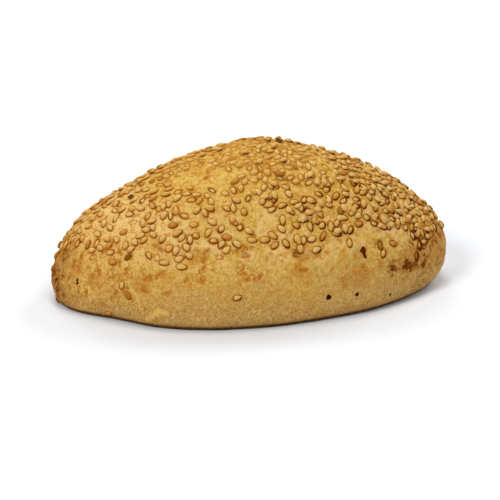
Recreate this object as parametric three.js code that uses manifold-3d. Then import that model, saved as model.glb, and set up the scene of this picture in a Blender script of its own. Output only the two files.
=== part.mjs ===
// A cheese pogaca: a hand-shaped oval bun with a pointed end and a round end, a soft off-centre peak,
// a flat baked base, and toasted sesame seeds stuck all over its upper half.
//
// Millimetres, +Z up. The origin is on the floor under the middle of the bun. +X runs along its length
// to the round end, and -Y is its front. Bun and seeds are one closed solid.

import * as THREE from "three";
import { mergeVertices } from "three/addons/utils/BufferGeometryUtils.js";
import Module from "manifold-3d";

const wasm = await Module();
wasm.setup();

// ---- driving dimensions -------------------------------------------------------------------------

const LENGTH = 130.4;
const WIDTH = 76.2;
const HEIGHT = 48.3; // to the peak of the dough, without the seeds

const PEAK_SHIFT = 7.4; // the peak leans this far towards the round end
const ROUND_END_TAPER = 0.08; // share of the width that the round end loses
const EDGE_ROUNDNESS = 2.4; // how square the lower edge turns from the belt to the base

// What differs round the bun, at its pointed end (-X), its round end (+X) and its long sides (+Y and -Y).
const BELT_HEIGHT = { pointed: 8.1, round: 12.3, side: 8.7 }; // where the bun is widest
const FOOT_SHARE = { pointed: 0.948, round: 0.85, side: 0.885 }; // the flat base's part of that outline
const DOME_SPREAD = { pointed: 1.72, round: 1.37, side: 2.14 }; // a low value makes a sharper peak
const DOME_SHOULDER = { pointed: 1.93, round: 1.47, side: 1.64 }; // a high value makes a fuller shoulder
const SEED_REACH = { pointed: 0.97, round: 0.98, side: 0.9 }; // share of the outline that seeds reach

const SEED_LENGTH = 3.2;
const SEED_WIDTH = 2.4;
const SEED_THICKNESS = 1.3;
const SEED_LIFT = 0.2; // of a seed's middle above the dough, so that it is well bedded
const SEED_FULLNESS = { tail: 1.21, tip: 0.61 }; // a seed's share of its width towards its two ends
const SEED_SIZES = { smallest: 0.92, largest: 1.12 };
const SEED_COUNT = 262;
const SEED_SCATTER = { direction: 0.05, rank: 0.6 }; // how far seeds stray from an even spread
const RIM_CROWDING = 0.46; // under 0.5 evens out the steep rim, which has more surface

// Broad places where the hands left the dough flatter or fuller: the middle of each, how far it
// reaches, and how deep it goes in (or out, where the depth is negative).
const HAND_MARKS = [
  { x: -52, y: -27, z: -3, reach: 22, depth: 3.8 }, // flat front corner beside the fold
  { x: -20, y: -37, z: 3, reach: 19, depth: -1 }, // fuller foot on the other side of the fold
  { x: -58, y: 0, z: 20, reach: 10, depth: -0.4 }, // blunt nose of the pointed end
  { x: -15, y: 2, z: 44, reach: 19, depth: -0.8 }, // full back above the pointed end
  { x: 40, y: 4, z: 38, reach: 18, depth: -0.8 }, // full back above the round end
  { x: 8, y: -37, z: 18, reach: 20, depth: -0.5 }, // full belly at the front
  { x: -14, y: 30, z: 26, reach: 22, depth: 0.9 },
  { x: 30, y: 30, z: 18, reach: 18, depth: -0.7 },
];

// Long waves that cross and leave the surface uneven: the height of each, in mm, the way along each
// axis in which it turns by one radian, and where it starts.
const WAVES = [
  { height: 0.16, x: 9.5, y: 8, z: Infinity, start: 0.6 },
  { height: 0.16, x: 9.5, y: -8, z: Infinity, start: 2 },
  { height: 0.22, x: 5.6, y: Infinity, z: 9, start: 2.1 },
  { height: 0.2, x: 14, y: 5, z: -7, start: Math.PI / 2 },
];

// Single seeds that landed below the others, by their direction in degrees and share of the outline.
const STRAY_SEEDS = [
  { direction: -101, share: 0.99 },
  { direction: -138.5, share: 0.985 },
  { direction: -133, share: 0.992 },
  { direction: -63, share: 0.955 },
  { direction: -49, share: 0.985 },
  { direction: 118, share: 0.98 },
  { direction: 52, share: 0.975 },
];

const BUN_SIDES = 64;
const DOME_RINGS = 13;
const EDGE_RINGS = 4;

// ---- a repeatable random draw, from 0 to 1 ------------------------------------------------------

function seededDraw(seed) {
  const multiplier = 1664525;
  const increment = 1013904223;
  const range = 2 ** 32;
  let state = seed;
  return () => {
    state = (state * multiplier + increment) % range;
    return state / range;
  };
}

// ---- the dough's form ---------------------------------------------------------------------------

// The value of one of the tables above in the direction (c, s), the cosine and sine round the bun.
function around(table, c, s) {
  return (c < 0 ? table.pointed : table.round) * c * c + table.side * s * s;
}

// How far the waves and the hand marks push a point of the smooth form outwards, in mm.
function unevenness(point) {
  let push = 0;
  for (const wave of WAVES) {
    push += wave.height * Math.sin(point.x / wave.x + point.y / wave.y + point.z / wave.z + wave.start);
  }
  for (const mark of HAND_MARKS) {
    const distance = point.distanceTo(new THREE.Vector3(mark.x, mark.y, mark.z));
    push -= mark.depth * Math.exp(-2 * (distance / mark.reach) ** 2);
  }
  return push;
}

// Moves a point of the smooth form by that push. Outwards is as on an ellipsoid that stands on the
// belt, and level below the belt.
function knead(point) {
  const outward = new THREE.Vector3(
    point.x / LENGTH ** 2,
    point.y / WIDTH ** 2,
    Math.max(point.z - BELT_HEIGHT.side, 0) / (2 * HEIGHT) ** 2,
  ).normalize();
  return point.addScaledVector(outward, unevenness(point));
}

// A point of the dome, above the belt: the direction round the bun, and the share of the way from
// the peak's axis out to the belt.
function domePoint(direction, share) {
  const c = Math.cos(direction);
  const s = Math.sin(direction);
  const belt = around(BELT_HEIGHT, c, s);
  const rise = (1 - share ** around(DOME_SPREAD, c, s)) ** (1 / around(DOME_SHOULDER, c, s));
  const x = (LENGTH / 2) * c * share + PEAK_SHIFT * rise;
  const y = (WIDTH / 2) * s * share * (1 - ROUND_END_TAPER * c * share);
  return knead(new THREE.Vector3(x, y, belt + (HEIGHT - belt) * rise));
}

// A point of the lower edge and the base: drop is 0 at the belt and 1 on the floor, and inset is 0 at
// the belt, 1 where the flat base starts and 2 in the middle of the base.
function edgePoint(direction, inset, drop) {
  const c = Math.cos(direction);
  const s = Math.sin(direction);
  const foot = around(FOOT_SHARE, c, s);
  const share = inset < 2 ? 1 - (1 - foot) * inset : 0;
  const x = (LENGTH / 2) * c * share;
  const y = (WIDTH / 2) * s * share * (1 - ROUND_END_TAPER * c * share);
  return knead(new THREE.Vector3(x, y, around(BELT_HEIGHT, c, s) * (1 - drop)));
}

// The unit profile that is turned on a lathe. Its y is above 0 on the dome, 0 at the belt and -1 on the
// floor. Its x is the share of the outline on the dome, and 1 less half the inset below the belt.
function unitProfile() {
  const profile = [new THREE.Vector2(0, -1)];
  for (let ring = EDGE_RINGS; ring > 0; ring -= 1) {
    const turn = ((Math.PI / 2) * ring) / EDGE_RINGS;
    const inset = 1 - Math.max(Math.cos(turn), 0) ** (2 / EDGE_ROUNDNESS);
    const drop = Math.sin(turn) ** (2 / EDGE_ROUNDNESS);
    profile.push(new THREE.Vector2(1 - inset / 2, -drop));
  }
  for (let ring = 0; ring <= DOME_RINGS; ring += 1) {
    const share = ring === DOME_RINGS ? 0 : Math.cos(((Math.PI / 2) * ring) / DOME_RINGS);
    profile.push(new THREE.Vector2(share, ring / DOME_RINGS));
  }
  return profile;
}

function doughGeometry() {
  const geometry = new THREE.LatheGeometry(unitProfile(), BUN_SIDES);
  geometry.rotateX(Math.PI / 2);
  const position = geometry.getAttribute("position");
  for (let i = 0; i < position.count; i += 1) {
    const direction = Math.atan2(position.getY(i), position.getX(i));
    const share = Math.min(Math.hypot(position.getX(i), position.getY(i)), 1);
    const level = position.getZ(i);
    const point = level < 0 ? edgePoint(direction, 2 * (1 - share), -level) : domePoint(direction, share);
    position.setXYZ(i, point.x, point.y, level === -1 ? 0 : point.z);
  }
  return geometry;
}

// ---- sesame seeds -------------------------------------------------------------------------------

// One seed at the origin: a low six-sided lens, flat along Z, its length along X and its tip at +X.
function seedGeometry() {
  const geometry = new THREE.SphereGeometry(0.5, 6, 2).rotateX(Math.PI / 2);
  const position = geometry.getAttribute("position");
  for (let i = 0; i < position.count; i += 1) {
    const fullness = THREE.MathUtils.lerp(SEED_FULLNESS.tail, SEED_FULLNESS.tip, position.getX(i) + 0.5);
    position.setY(i, position.getY(i) * fullness);
  }
  return geometry.scale(SEED_LENGTH, SEED_WIDTH, SEED_THICKNESS);
}

// The place of a seed on the dome: its length lies along the surface at the angle spin.
function seedPlace(direction, share, spin, size) {
  const step = 0.01;
  const here = domePoint(direction, share);
  const across = domePoint(direction + step, share).sub(domePoint(direction - step, share));
  const outwards = domePoint(direction, share + step / 2).sub(domePoint(direction, share - step / 2));
  const normal = outwards.cross(across).normalize();
  const along = across.normalize().applyAxisAngle(normal, spin);
  const side = new THREE.Vector3().crossVectors(normal, along);
  const place = new THREE.Matrix4().makeBasis(along, side, normal);
  place.scale(new THREE.Vector3(size, size, size));
  return place.setPosition(here.addScaledVector(normal, SEED_LIFT));
}

// Seeds spread evenly by the golden angle, as on a sunflower, each a little out of line, and the strays.
function seedPlaces() {
  const draw = seededDraw(41);
  const goldenAngle = Math.PI * (3 - Math.sqrt(5));
  const places = [];
  for (let i = 0; i < SEED_COUNT; i += 1) {
    const direction = i * goldenAngle + SEED_SCATTER.direction * (draw() - 0.5);
    const reach = around(SEED_REACH, Math.cos(direction), Math.sin(direction));
    const rank = i + 0.5 + SEED_SCATTER.rank * (draw() - 0.5);
    const share = reach * (rank / SEED_COUNT) ** RIM_CROWDING;
    const size = THREE.MathUtils.lerp(SEED_SIZES.smallest, SEED_SIZES.largest, draw());
    places.push(seedPlace(direction, share, Math.PI * draw(), size));
  }
  for (const stray of STRAY_SEEDS) {
    places.push(seedPlace(THREE.MathUtils.degToRad(stray.direction), stray.share, Math.PI * draw(), 1));
  }
  return places;
}

// ---- joining into one solid ---------------------------------------------------------------------

// A closed three.js geometry as a solid.
function solidOf(geometry) {
  const bare = geometry.clone();
  bare.deleteAttribute("normal");
  bare.deleteAttribute("uv");
  const merged = mergeVertices(bare, 1e-4);
  const corners = merged.index.array;
  const kept = [];
  for (let i = 0; i < corners.length; i += 3) {
    const [a, b, c] = corners.slice(i, i + 3);
    if (a !== b && b !== c && c !== a) kept.push(a, b, c);
  }
  const vertProperties = new Float32Array(merged.getAttribute("position").array);
  return new wasm.Manifold(new wasm.Mesh({ numProp: 3, vertProperties, triVerts: new Uint32Array(kept) }));
}

// A solid as a three.js geometry.
function geometryOf(solid) {
  const mesh = solid.getMesh();
  const geometry = new THREE.BufferGeometry();
  geometry.setAttribute("position", new THREE.BufferAttribute(mesh.vertProperties, 3));
  geometry.setIndex(new THREE.BufferAttribute(mesh.triVerts, 1));
  geometry.computeVertexNormals();
  return geometry;
}

function pogacaGeometry() {
  const dough = solidOf(doughGeometry());
  const seed = solidOf(seedGeometry());
  const seeds = seedPlaces().map((place) => seed.transform(place.toArray()));
  return geometryOf(wasm.Manifold.union([dough, ...seeds]));
}

// ---- the part -----------------------------------------------------------------------------------

const goldenCrust = new THREE.MeshStandardMaterial({ color: 0xd0a052, roughness: 0.8, metalness: 0 });

const pogaca = new THREE.Mesh(pogacaGeometry(), goldenCrust);
pogaca.name = "pogaca";

const part = new THREE.Group();
part.name = "cheese_pogaca";
part.add(pogaca);

export default part;
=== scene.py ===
"""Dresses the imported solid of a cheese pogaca: a mottled golden crust under toasted sesame seeds.

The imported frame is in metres, +Z up, with +X along the bun to its round end and -Y at its front.
The form of the dough is worked out in millimetres and becomes metres when its mesh is made.
"""

from __future__ import annotations

import logging
import math
from dataclasses import dataclass
from enum import Enum
from typing import Any, Union

import bpy
import numpy as np
from mathutils import Matrix, Vector, kdtree, noise
from mathutils.bvhtree import BVHTree


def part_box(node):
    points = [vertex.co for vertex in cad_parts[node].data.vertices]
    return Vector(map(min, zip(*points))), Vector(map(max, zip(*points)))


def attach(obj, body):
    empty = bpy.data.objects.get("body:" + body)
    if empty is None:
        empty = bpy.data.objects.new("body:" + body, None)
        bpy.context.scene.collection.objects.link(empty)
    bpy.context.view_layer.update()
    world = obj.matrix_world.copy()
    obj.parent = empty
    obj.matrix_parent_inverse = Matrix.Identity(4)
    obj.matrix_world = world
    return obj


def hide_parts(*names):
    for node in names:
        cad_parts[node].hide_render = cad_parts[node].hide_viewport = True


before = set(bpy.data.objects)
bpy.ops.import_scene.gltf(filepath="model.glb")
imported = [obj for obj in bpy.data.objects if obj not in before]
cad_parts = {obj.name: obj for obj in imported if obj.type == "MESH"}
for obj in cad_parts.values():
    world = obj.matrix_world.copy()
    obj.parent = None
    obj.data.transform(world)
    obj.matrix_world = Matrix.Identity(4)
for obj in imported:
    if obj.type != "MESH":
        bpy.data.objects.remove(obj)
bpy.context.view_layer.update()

MM = 0.001
NODE = "pogaca"

log = logging.getLogger("pogaca")

Array = np.ndarray
Colour = tuple[float, float, float, float]
Span = tuple[float, float]
Stretch = tuple[float, float, float]
Value = Union["Sock", float, int]

# How far apart the parts of the endless noise lie that noise_field reads for different seeds.
NOISE_SHIFT = np.array([31.7, 17.3, 53.9])
# How fast the finer layers of that noise fade, and how much finer each is than the one before.
NOISE_FADE = 0.8
NOISE_STEP = 2.1


# ---- small helpers ------------------------------------------------------------------------------


def srgb(red: int, green: int, blue: int) -> Colour:
    """Turns a colour on the 0 to 255 scale of a screen into a linear one.

    Args:
        red: Red, 0 to 255.
        green: Green, 0 to 255.
        blue: Blue, 0 to 255.

    Returns:
        The linear colour, with an alpha of 1.
    """
    shares = [channel / 255 for channel in (red, green, blue)]
    linear = [s / 12.92 if s <= 0.04045 else ((s + 0.055) / 1.055) ** 2.4 for s in shares]
    return (linear[0], linear[1], linear[2], 1.0)


def smooth(edge_low: float, edge_high: float, values: Array) -> Array:
    """Eases from 0 to 1 between two edges, which may be given in falling order.

    Args:
        edge_low: Where the result is 0.
        edge_high: Where the result is 1.
        values: What is eased.

    Returns:
        The eased values.
    """
    t = np.clip((values - edge_low) / (edge_high - edge_low), 0.0, 1.0)
    return t * t * (3.0 - 2.0 * t)


def noise_field(points: Array, size: float, seed: int, octaves: int = 1) -> Array:
    """Reads smooth noise at each point.

    Args:
        points: Points in millimetres.
        size: Size of the noise's waves in millimetres.
        seed: Which part of the endless noise is read.
        octaves: How many finer layers are added up.

    Returns:
        A value for each point, mostly from -0.6 to 0.6.
    """
    places = (points / size + NOISE_SHIFT * seed).tolist()
    if octaves == 1:
        return np.array([noise.noise(place) for place in places])
    return np.array([noise.fractal(place, NOISE_FADE, NOISE_STEP, octaves) for place in places])


def write_attribute(mesh: bpy.types.Mesh, name: str, values: Array) -> None:
    """Stores one number for each vertex of a mesh, for its material and its node trees."""
    layer = mesh.attributes.get(name) or mesh.attributes.new(name, "FLOAT", "POINT")
    layer.data.foreach_set("value", values.astype(np.float32))


def read_attribute(mesh: bpy.types.Mesh, name: str) -> Array:
    """Reads the numbers that are stored for the vertices of a mesh."""
    values = np.empty(len(mesh.vertices), dtype=np.float32)
    mesh.attributes[name].data.foreach_get("value", values)
    return values.astype(float)


def vertex_points(mesh: bpy.types.Mesh) -> Array:
    """Returns a mesh's vertices in millimetres."""
    flat = np.empty(len(mesh.vertices) * 3, dtype=np.float32)
    mesh.vertices.foreach_get("co", flat)
    return flat.reshape(-1, 3).astype(float) / MM


def vertex_normals(mesh: bpy.types.Mesh) -> Array:
    """Returns a mesh's vertex normals."""
    flat = np.empty(len(mesh.vertices) * 3, dtype=np.float32)
    mesh.vertex_normals.foreach_get("vector", flat)
    return flat.reshape(-1, 3).astype(float)


def set_points(mesh: bpy.types.Mesh, points: Array) -> None:
    """Moves a mesh's vertices to points given in millimetres."""
    mesh.vertices.foreach_set("co", (points * MM).astype(np.float32).ravel())
    mesh.update()


def search_tree(points: Array) -> kdtree.KDTree:
    """Sorts points into a tree that finds those near a place."""
    tree = kdtree.KDTree(len(points))
    for i, point in enumerate(points.tolist()):
        tree.insert(point, i)
    tree.balance()
    return tree


def seen_under(azimuth: float, elevation: float) -> Vector:
    """Finds the direction from the bun to a light or to the camera.

    Args:
        azimuth: The turn from the front of the bun to the right, in degrees.
        elevation: The angle above the floor, in degrees.

    Returns:
        The direction, one unit long.
    """
    turn, tip = math.radians(azimuth), math.radians(elevation)
    return Vector((math.sin(turn) * math.cos(tip), -math.cos(turn) * math.cos(tip), math.sin(tip)))


def link_to_scene(item: bpy.types.Object) -> None:
    """Puts an object into the scene."""
    bpy.context.scene.collection.objects.link(item)


# ---- nodes written as expressions ---------------------------------------------------------------


class Sock:
    """A node's output. Arithmetic on it adds Math nodes to its tree."""

    def __init__(self, nodes: "Nodes", socket: bpy.types.NodeSocket) -> None:
        """Wraps one output socket of a tree."""
        self.nodes = nodes
        self.socket = socket

    def _math(self, operation: str, first: Value, second: Value) -> "Sock":
        """Adds a Math node on two values and returns its output."""
        return self.nodes.node("ShaderNodeMath", {"operation": operation}, {0: first, 1: second})

    def __add__(self, other: Value) -> "Sock":
        """Adds."""
        return self._math("ADD", self, other)

    def __radd__(self, other: Value) -> "Sock":
        """Adds, from the right."""
        return self._math("ADD", other, self)

    def __sub__(self, other: Value) -> "Sock":
        """Subtracts."""
        return self._math("SUBTRACT", self, other)

    def __rsub__(self, other: Value) -> "Sock":
        """Subtracts from a value."""
        return self._math("SUBTRACT", other, self)

    def __mul__(self, other: Value) -> "Sock":
        """Multiplies."""
        return self._math("MULTIPLY", self, other)

    def __rmul__(self, other: Value) -> "Sock":
        """Multiplies, from the right."""
        return self._math("MULTIPLY", other, self)

    def larger(self, other: Value) -> "Sock":
        """Takes the larger of two values."""
        return self._math("MAXIMUM", self, other)

    def eased(self, zero_at: float, one_at: float) -> "Sock":
        """Eases from 0 to 1 between two values, which may be given in falling order.

        Args:
            zero_at: The value that gives 0.
            one_at: The value that gives 1.

        Returns:
            The eased value.
        """
        low, high = min(zero_at, one_at), max(zero_at, one_at)
        rising = self.nodes.node(
            "ShaderNodeMapRange",
            {"interpolation_type": "SMOOTHSTEP"},
            {"Value": self, "From Min": low, "From Max": high},
        )
        return rising if one_at > zero_at else 1.0 - rising

    def twin(self, name: str) -> "Sock":
        """Returns another output of the same node."""
        return Sock(self.nodes, self.socket.node.outputs[name])


class Nodes:
    """Adds nodes to one shader or geometry tree."""

    def __init__(self, tree: bpy.types.NodeTree) -> None:
        """Empties the tree and takes it over."""
        self.tree = tree
        tree.nodes.clear()

    def node(
        self,
        kind: str,
        settings: dict[str, Any] | None = None,
        sockets: dict[str | int, Any] | None = None,
        out: str | int = 0,
    ) -> Sock:
        """Adds one node.

        Args:
            kind: The node's type.
            settings: Its properties, set before its sockets. "stops" fills a colour ramp.
            sockets: Values or links for its inputs, by name or place.
            out: Which output to return.

        Returns:
            The chosen output.
        """
        node = self.tree.nodes.new(kind)
        for name, value in (settings or {}).items():
            if name == "stops":
                self._fill_ramp(node.color_ramp, value)
            else:
                setattr(node, name, value)
        for name, value in (sockets or {}).items():
            if isinstance(value, Sock):
                self.tree.links.new(node.inputs[name], value.socket)
            else:
                node.inputs[name].default_value = value
        return Sock(self, node.outputs[out] if len(node.outputs) else None)

    @staticmethod
    def _fill_ramp(ramp: bpy.types.ColorRamp, stops: tuple[tuple[float, Colour], ...]) -> None:
        """Sets a colour ramp's stops, given as places and colours in rising order."""
        while len(ramp.elements) > 1:
            ramp.elements.remove(ramp.elements[-1])
        ramp.elements[0].position, ramp.elements[0].color = stops[0]
        for place, colour in stops[1:]:
            ramp.elements.new(place).color = colour

    def tint(self, share: Value, below: Sock | Colour, above: Sock | Colour) -> Sock:
        """Mixes a colour over another.

        Args:
            share: How much of the upper colour shows, 0 to 1.
            below: The colour underneath.
            above: The colour on top.

        Returns:
            The mixed colour.
        """
        settings = {"data_type": "RGBA", "blend_type": "MIX", "clamp_factor": True}
        return self.node("ShaderNodeMix", settings, {0: share, 6: below, 7: above}, out=2)

    def attribute(self, name: str) -> Sock:
        """Reads a number stored on the mesh's vertices."""
        return self.node("ShaderNodeAttribute", {"attribute_name": name}, out="Fac")

    def place(self) -> Sock:
        """Reads the place on the object in millimetres."""
        place = self.node("ShaderNodeTexCoord", out="Object")
        return self.node("ShaderNodeVectorMath", {"operation": "SCALE"}, {0: place, "Scale": 1 / MM})

    def axis(self, place: Sock, name: str) -> Sock:
        """Returns a place's "X", "Y" or "Z"."""
        return self.node("ShaderNodeSeparateXYZ", {}, {0: place}, out=name)

    def stretched(self, place: Sock, stretch: Stretch) -> Sock:
        """Multiplies a place by a factor along each axis."""
        return self.node("ShaderNodeVectorMath", {"operation": "MULTIPLY"}, {0: place, 1: stretch})

    def clouds(self, place: Sock, size: float, detail: float = 2.0, roughness: float = 0.5,
               distortion: float = 0.0) -> Sock:
        """Reads soft noise.

        Args:
            place: The place, in millimetres.
            size: Size of the noise's waves in millimetres.
            detail: How many finer layers are added.
            roughness: How strong the finer layers are.
            distortion: How much the waves are bent.

        Returns:
            A value from 0 to 1, mostly from 0.3 to 0.7.
        """
        sockets = {"Vector": place, "Scale": 1 / size, "Detail": detail, "Roughness": roughness,
                   "Distortion": distortion}
        return self.node("ShaderNodeTexNoise", {}, sockets)


@dataclass(frozen=True)
class Shading:
    """How strong the fine relief of a finish is, how light soaks into it, and how much of it glances off."""

    relief: float
    soak: float
    soak_reach: Stretch
    gloss: float
    soak_size: float = 0.8

    def finish(self, nodes: Nodes, colour: Sock, roughness: Sock, relief: Sock) -> None:
        """Ends a material's nodes in its shader.

        Args:
            nodes: The material's nodes.
            colour: Its colour.
            roughness: Its roughness.
            relief: The height of its fine relief in millimetres.
        """
        bump = nodes.node("ShaderNodeBump", {}, {"Strength": self.relief, "Distance": MM, "Height": relief})
        shader = nodes.node(
            "ShaderNodeBsdfPrincipled", {},
            {"Base Color": colour, "Roughness": roughness, "Normal": bump,
             "Subsurface Weight": self.soak, "Subsurface Radius": self.soak_reach,
             "Subsurface Scale": self.soak_size * MM, "Specular IOR Level": self.gloss},
        )
        nodes.node("ShaderNodeOutputMaterial", {}, {"Surface": shader})


def new_material(name: str) -> tuple[bpy.types.Material, Nodes]:
    """Makes an empty material and returns it with its nodes."""
    material = bpy.data.materials.new(name)
    material.use_nodes = True
    return material, Nodes(material.node_tree)


# ---- the dough's form ---------------------------------------------------------------------------


@dataclass(frozen=True)
class Around:
    """A size that changes round the bun: its values at the two ends and on the long sides."""

    pointed: float
    round: float
    side: float

    def at(self, cosine: Array, sine: Array) -> Array:
        """Returns the size in each direction round the bun."""
        end = np.where(cosine < 0, self.pointed, self.round)
        return end * cosine**2 + self.side * sine**2


@dataclass(frozen=True)
class HandMark:
    """A broad place where the hands left the dough flatter, or fuller where the depth is negative."""

    x: float
    y: float
    z: float
    reach: float
    depth: float

    def push(self, points: Array) -> Array:
        """Returns how far each point is pushed outwards, in millimetres."""
        distance = np.linalg.norm(points - np.array([self.x, self.y, self.z]), axis=1)
        return -self.depth * np.exp(-2.0 * (distance / self.reach) ** 2)


@dataclass(frozen=True)
class Wave:
    """A long wave that leaves the surface uneven, and turns by one radian over x, y and z."""

    height: float
    x: float
    y: float
    z: float
    start: float

    def push(self, points: Array) -> Array:
        """Returns how far each point is pushed outwards, in millimetres."""
        x, y, z = points.T
        return self.height * np.sin(x / self.x + y / self.y + z / self.z + self.start)


HAND_MARKS = (
    HandMark(-52, -27, -3, 22, 3.8),
    HandMark(-20, -37, 3, 19, -1.0),
    HandMark(-58, 0, 20, 10, -0.4),
    HandMark(-15, 2, 44, 19, -0.8),
    HandMark(40, 4, 38, 18, -0.8),
    HandMark(8, -37, 18, 20, -0.5),
    HandMark(-14, 30, 26, 22, 0.9),
    HandMark(30, 30, 18, 18, -0.7),
)
WAVES = (
    Wave(0.16, 9.5, 8, math.inf, 0.6),
    Wave(0.16, 9.5, -8, math.inf, 2.0),
    Wave(0.22, 5.6, math.inf, 9, 2.1),
    Wave(0.2, 14, 5, -7, math.pi / 2),
)


@dataclass(frozen=True)
class DoughForm:
    """The bun's broad form, in millimetres, as its solid has it."""

    length: float
    width: float
    height: float
    peak_shift: float = 7.4
    round_end_taper: float = 0.08
    edge_roundness: float = 2.4
    belt: Around = Around(8.1, 12.3, 8.7)
    foot: Around = Around(0.948, 0.85, 0.885)
    spread: Around = Around(1.72, 1.37, 2.14)
    shoulder: Around = Around(1.93, 1.47, 1.64)

    def dome(self, direction: Array, share: Array) -> Array:
        """Finds points of the dome, above the belt.

        Args:
            direction: Directions round the bun, in radians.
            share: Shares of the way from the peak's axis out to the belt.

        Returns:
            The points.
        """
        cosine, sine = np.cos(direction), np.sin(direction)
        belt = self.belt.at(cosine, sine)
        drop = np.clip(share, 0.0, 1.0) ** self.spread.at(cosine, sine)
        rise = (1.0 - drop) ** (1.0 / self.shoulder.at(cosine, sine))
        points = self._outline(cosine, sine, share)
        points[:, 0] += self.peak_shift * rise
        points[:, 2] = belt + (self.height - belt) * rise
        return self.knead(points)

    def edge(self, direction: Array, inset: Array, drop: Array) -> Array:
        """Finds points of the lower edge, from the belt down to the flat base.

        Args:
            direction: Directions round the bun, in radians.
            inset: 0 at the belt and 1 where the flat base starts.
            drop: 0 at the belt and 1 on the floor.

        Returns:
            The points.
        """
        cosine, sine = np.cos(direction), np.sin(direction)
        share = 1.0 - (1.0 - self.foot.at(cosine, sine)) * inset
        points = self._outline(cosine, sine, share)
        points[:, 2] = self.belt.at(cosine, sine) * (1.0 - drop)
        return self.knead(points)

    def _outline(self, cosine: Array, sine: Array, share: Array) -> Array:
        """Returns points on the floor at shares of the widest outline."""
        x = self.length / 2 * cosine * share
        y = self.width / 2 * sine * share * (1.0 - self.round_end_taper * cosine * share)
        return np.stack([x, y, np.zeros_like(x)], axis=1)

    def knead(self, points: Array) -> Array:
        """Presses points of the smooth form in and out, as hands leave it. The base stays flat."""
        x, y, z = points.T
        climb = np.maximum(z - self.belt.side, 0.0) / (2.0 * self.height) ** 2
        outward = np.stack([x / self.length**2, y / self.width**2, climb], axis=1)
        outward /= np.maximum(np.linalg.norm(outward, axis=1, keepdims=True), 1e-12)
        push = sum(shape.push(points) for shape in (*WAVES, *HAND_MARKS))
        return points + outward * push[:, None]


@dataclass(frozen=True)
class DomeGrid:
    """Five square grids, laid out as on an open cube, that wrap the dome and its lower edge."""

    cells: int = 138
    belt_level: float = 0.86
    base_rings: tuple[float, ...] = (0.985, 0.95, 0.8)

    def build(self, form: DoughForm) -> bpy.types.Mesh:
        """Makes the dough's mesh, closed by a flat base.

        Args:
            form: The broad form that the grids are bent to.

        Returns:
            The mesh, in metres.
        """
        cube, quads = self._open_cube()
        points = self._bend(form, cube)
        rim = self._rim(cube)
        corners = [tuple(quad) for quad in quads.tolist()]
        middle = points[rim].mean(axis=0)
        ring = rim
        for share in self.base_rings:
            inner = middle + (points[rim] - middle) * share
            inner[:, 2] = 0.0
            start = len(points)
            points = np.concatenate([points, inner])
            next_ring = np.arange(start, start + len(rim))
            for i in range(len(rim)):
                j = (i + 1) % len(rim)
                corners.append((int(ring[j]), int(ring[i]), int(next_ring[i]), int(next_ring[j])))
            ring = next_ring
        corners.append(tuple(int(i) for i in reversed(ring)))
        mesh = bpy.data.meshes.new("crust")
        mesh.from_pydata((points * MM).tolist(), [], corners)
        mesh.shade_smooth()
        mesh.update()
        return mesh

    def _open_cube(self) -> tuple[Array, Array]:
        """Makes the top and four sides of a cube whose grid lines are an equal angle apart.

        Returns:
            The points of the cube, and its quads, which face outwards.
        """
        steps = np.tan(np.linspace(-math.pi / 4, math.pi / 4, self.cells + 1))
        u, v = (grid.ravel() for grid in np.meshgrid(steps, steps, indexing="ij"))
        one = np.ones_like(u)
        faces = [
            np.stack([u, v, one], axis=1),
            np.stack([one, u, v], axis=1),
            np.stack([-u, one, v], axis=1),
            np.stack([-one, -u, v], axis=1),
            np.stack([u, -one, v], axis=1),
        ]
        size = self.cells + 1
        i, j = (grid.ravel() for grid in np.meshgrid(range(self.cells), range(self.cells), indexing="ij"))
        quad = np.stack([i * size + j, (i + 1) * size + j, (i + 1) * size + j + 1, i * size + j + 1], axis=1)
        quads = np.concatenate([quad + face * size * size for face in range(5)])
        loose = np.concatenate(faces)
        _, first, back = np.unique(np.round(loose, 6), axis=0, return_index=True, return_inverse=True)
        return loose[first], back.reshape(-1)[quads]

    def _rim(self, cube: Array) -> Array:
        """Returns the vertices of the open cube's lower rim, in order round it."""
        low = np.flatnonzero(cube[:, 2] < -1.0 + 1e-6)
        return low[np.argsort(np.arctan2(cube[low, 1], cube[low, 0]))]

    def _bend(self, form: DoughForm, cube: Array) -> Array:
        """Moves the open cube's points to the dome and its lower edge."""
        direction = np.arctan2(cube[:, 1], cube[:, 0])
        across = np.hypot(cube[:, 0], cube[:, 1])
        rim_across = 1.0 / np.maximum(np.abs(np.cos(direction)), np.abs(np.sin(direction)))
        level = np.arctan2(across, cube[:, 2]) / (math.pi / 2 + np.arctan(1.0 / rim_across))
        on_dome = level <= self.belt_level
        turn = np.clip(level / self.belt_level, 0.0, 1.0) * math.pi / 2
        points = form.dome(direction, np.sin(turn))
        turn = np.clip((level - self.belt_level) / (1.0 - self.belt_level), 0.0, 1.0) * math.pi / 2
        power = 2.0 / form.edge_roundness
        inset = 1.0 - np.clip(np.cos(turn), 0.0, 1.0) ** power
        low = form.edge(direction, inset, np.sin(turn) ** power)
        return np.where(on_dome[:, None], points, low)


# ---- where the seeds lie ------------------------------------------------------------------------


@dataclass(frozen=True)
class Patch:
    """A round place on the crust, in millimetres, with soft edges."""

    x: float
    y: float
    z: float
    reach: float
    strength: float = 1.0

    def cover(self, points: Array) -> Array:
        """Returns how much the patch covers each point, from 0 to its strength."""
        distance = np.linalg.norm(points - np.array([self.x, self.y, self.z]), axis=1)
        return self.strength * smooth(self.reach * 1.25, self.reach * 0.75, distance)


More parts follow.
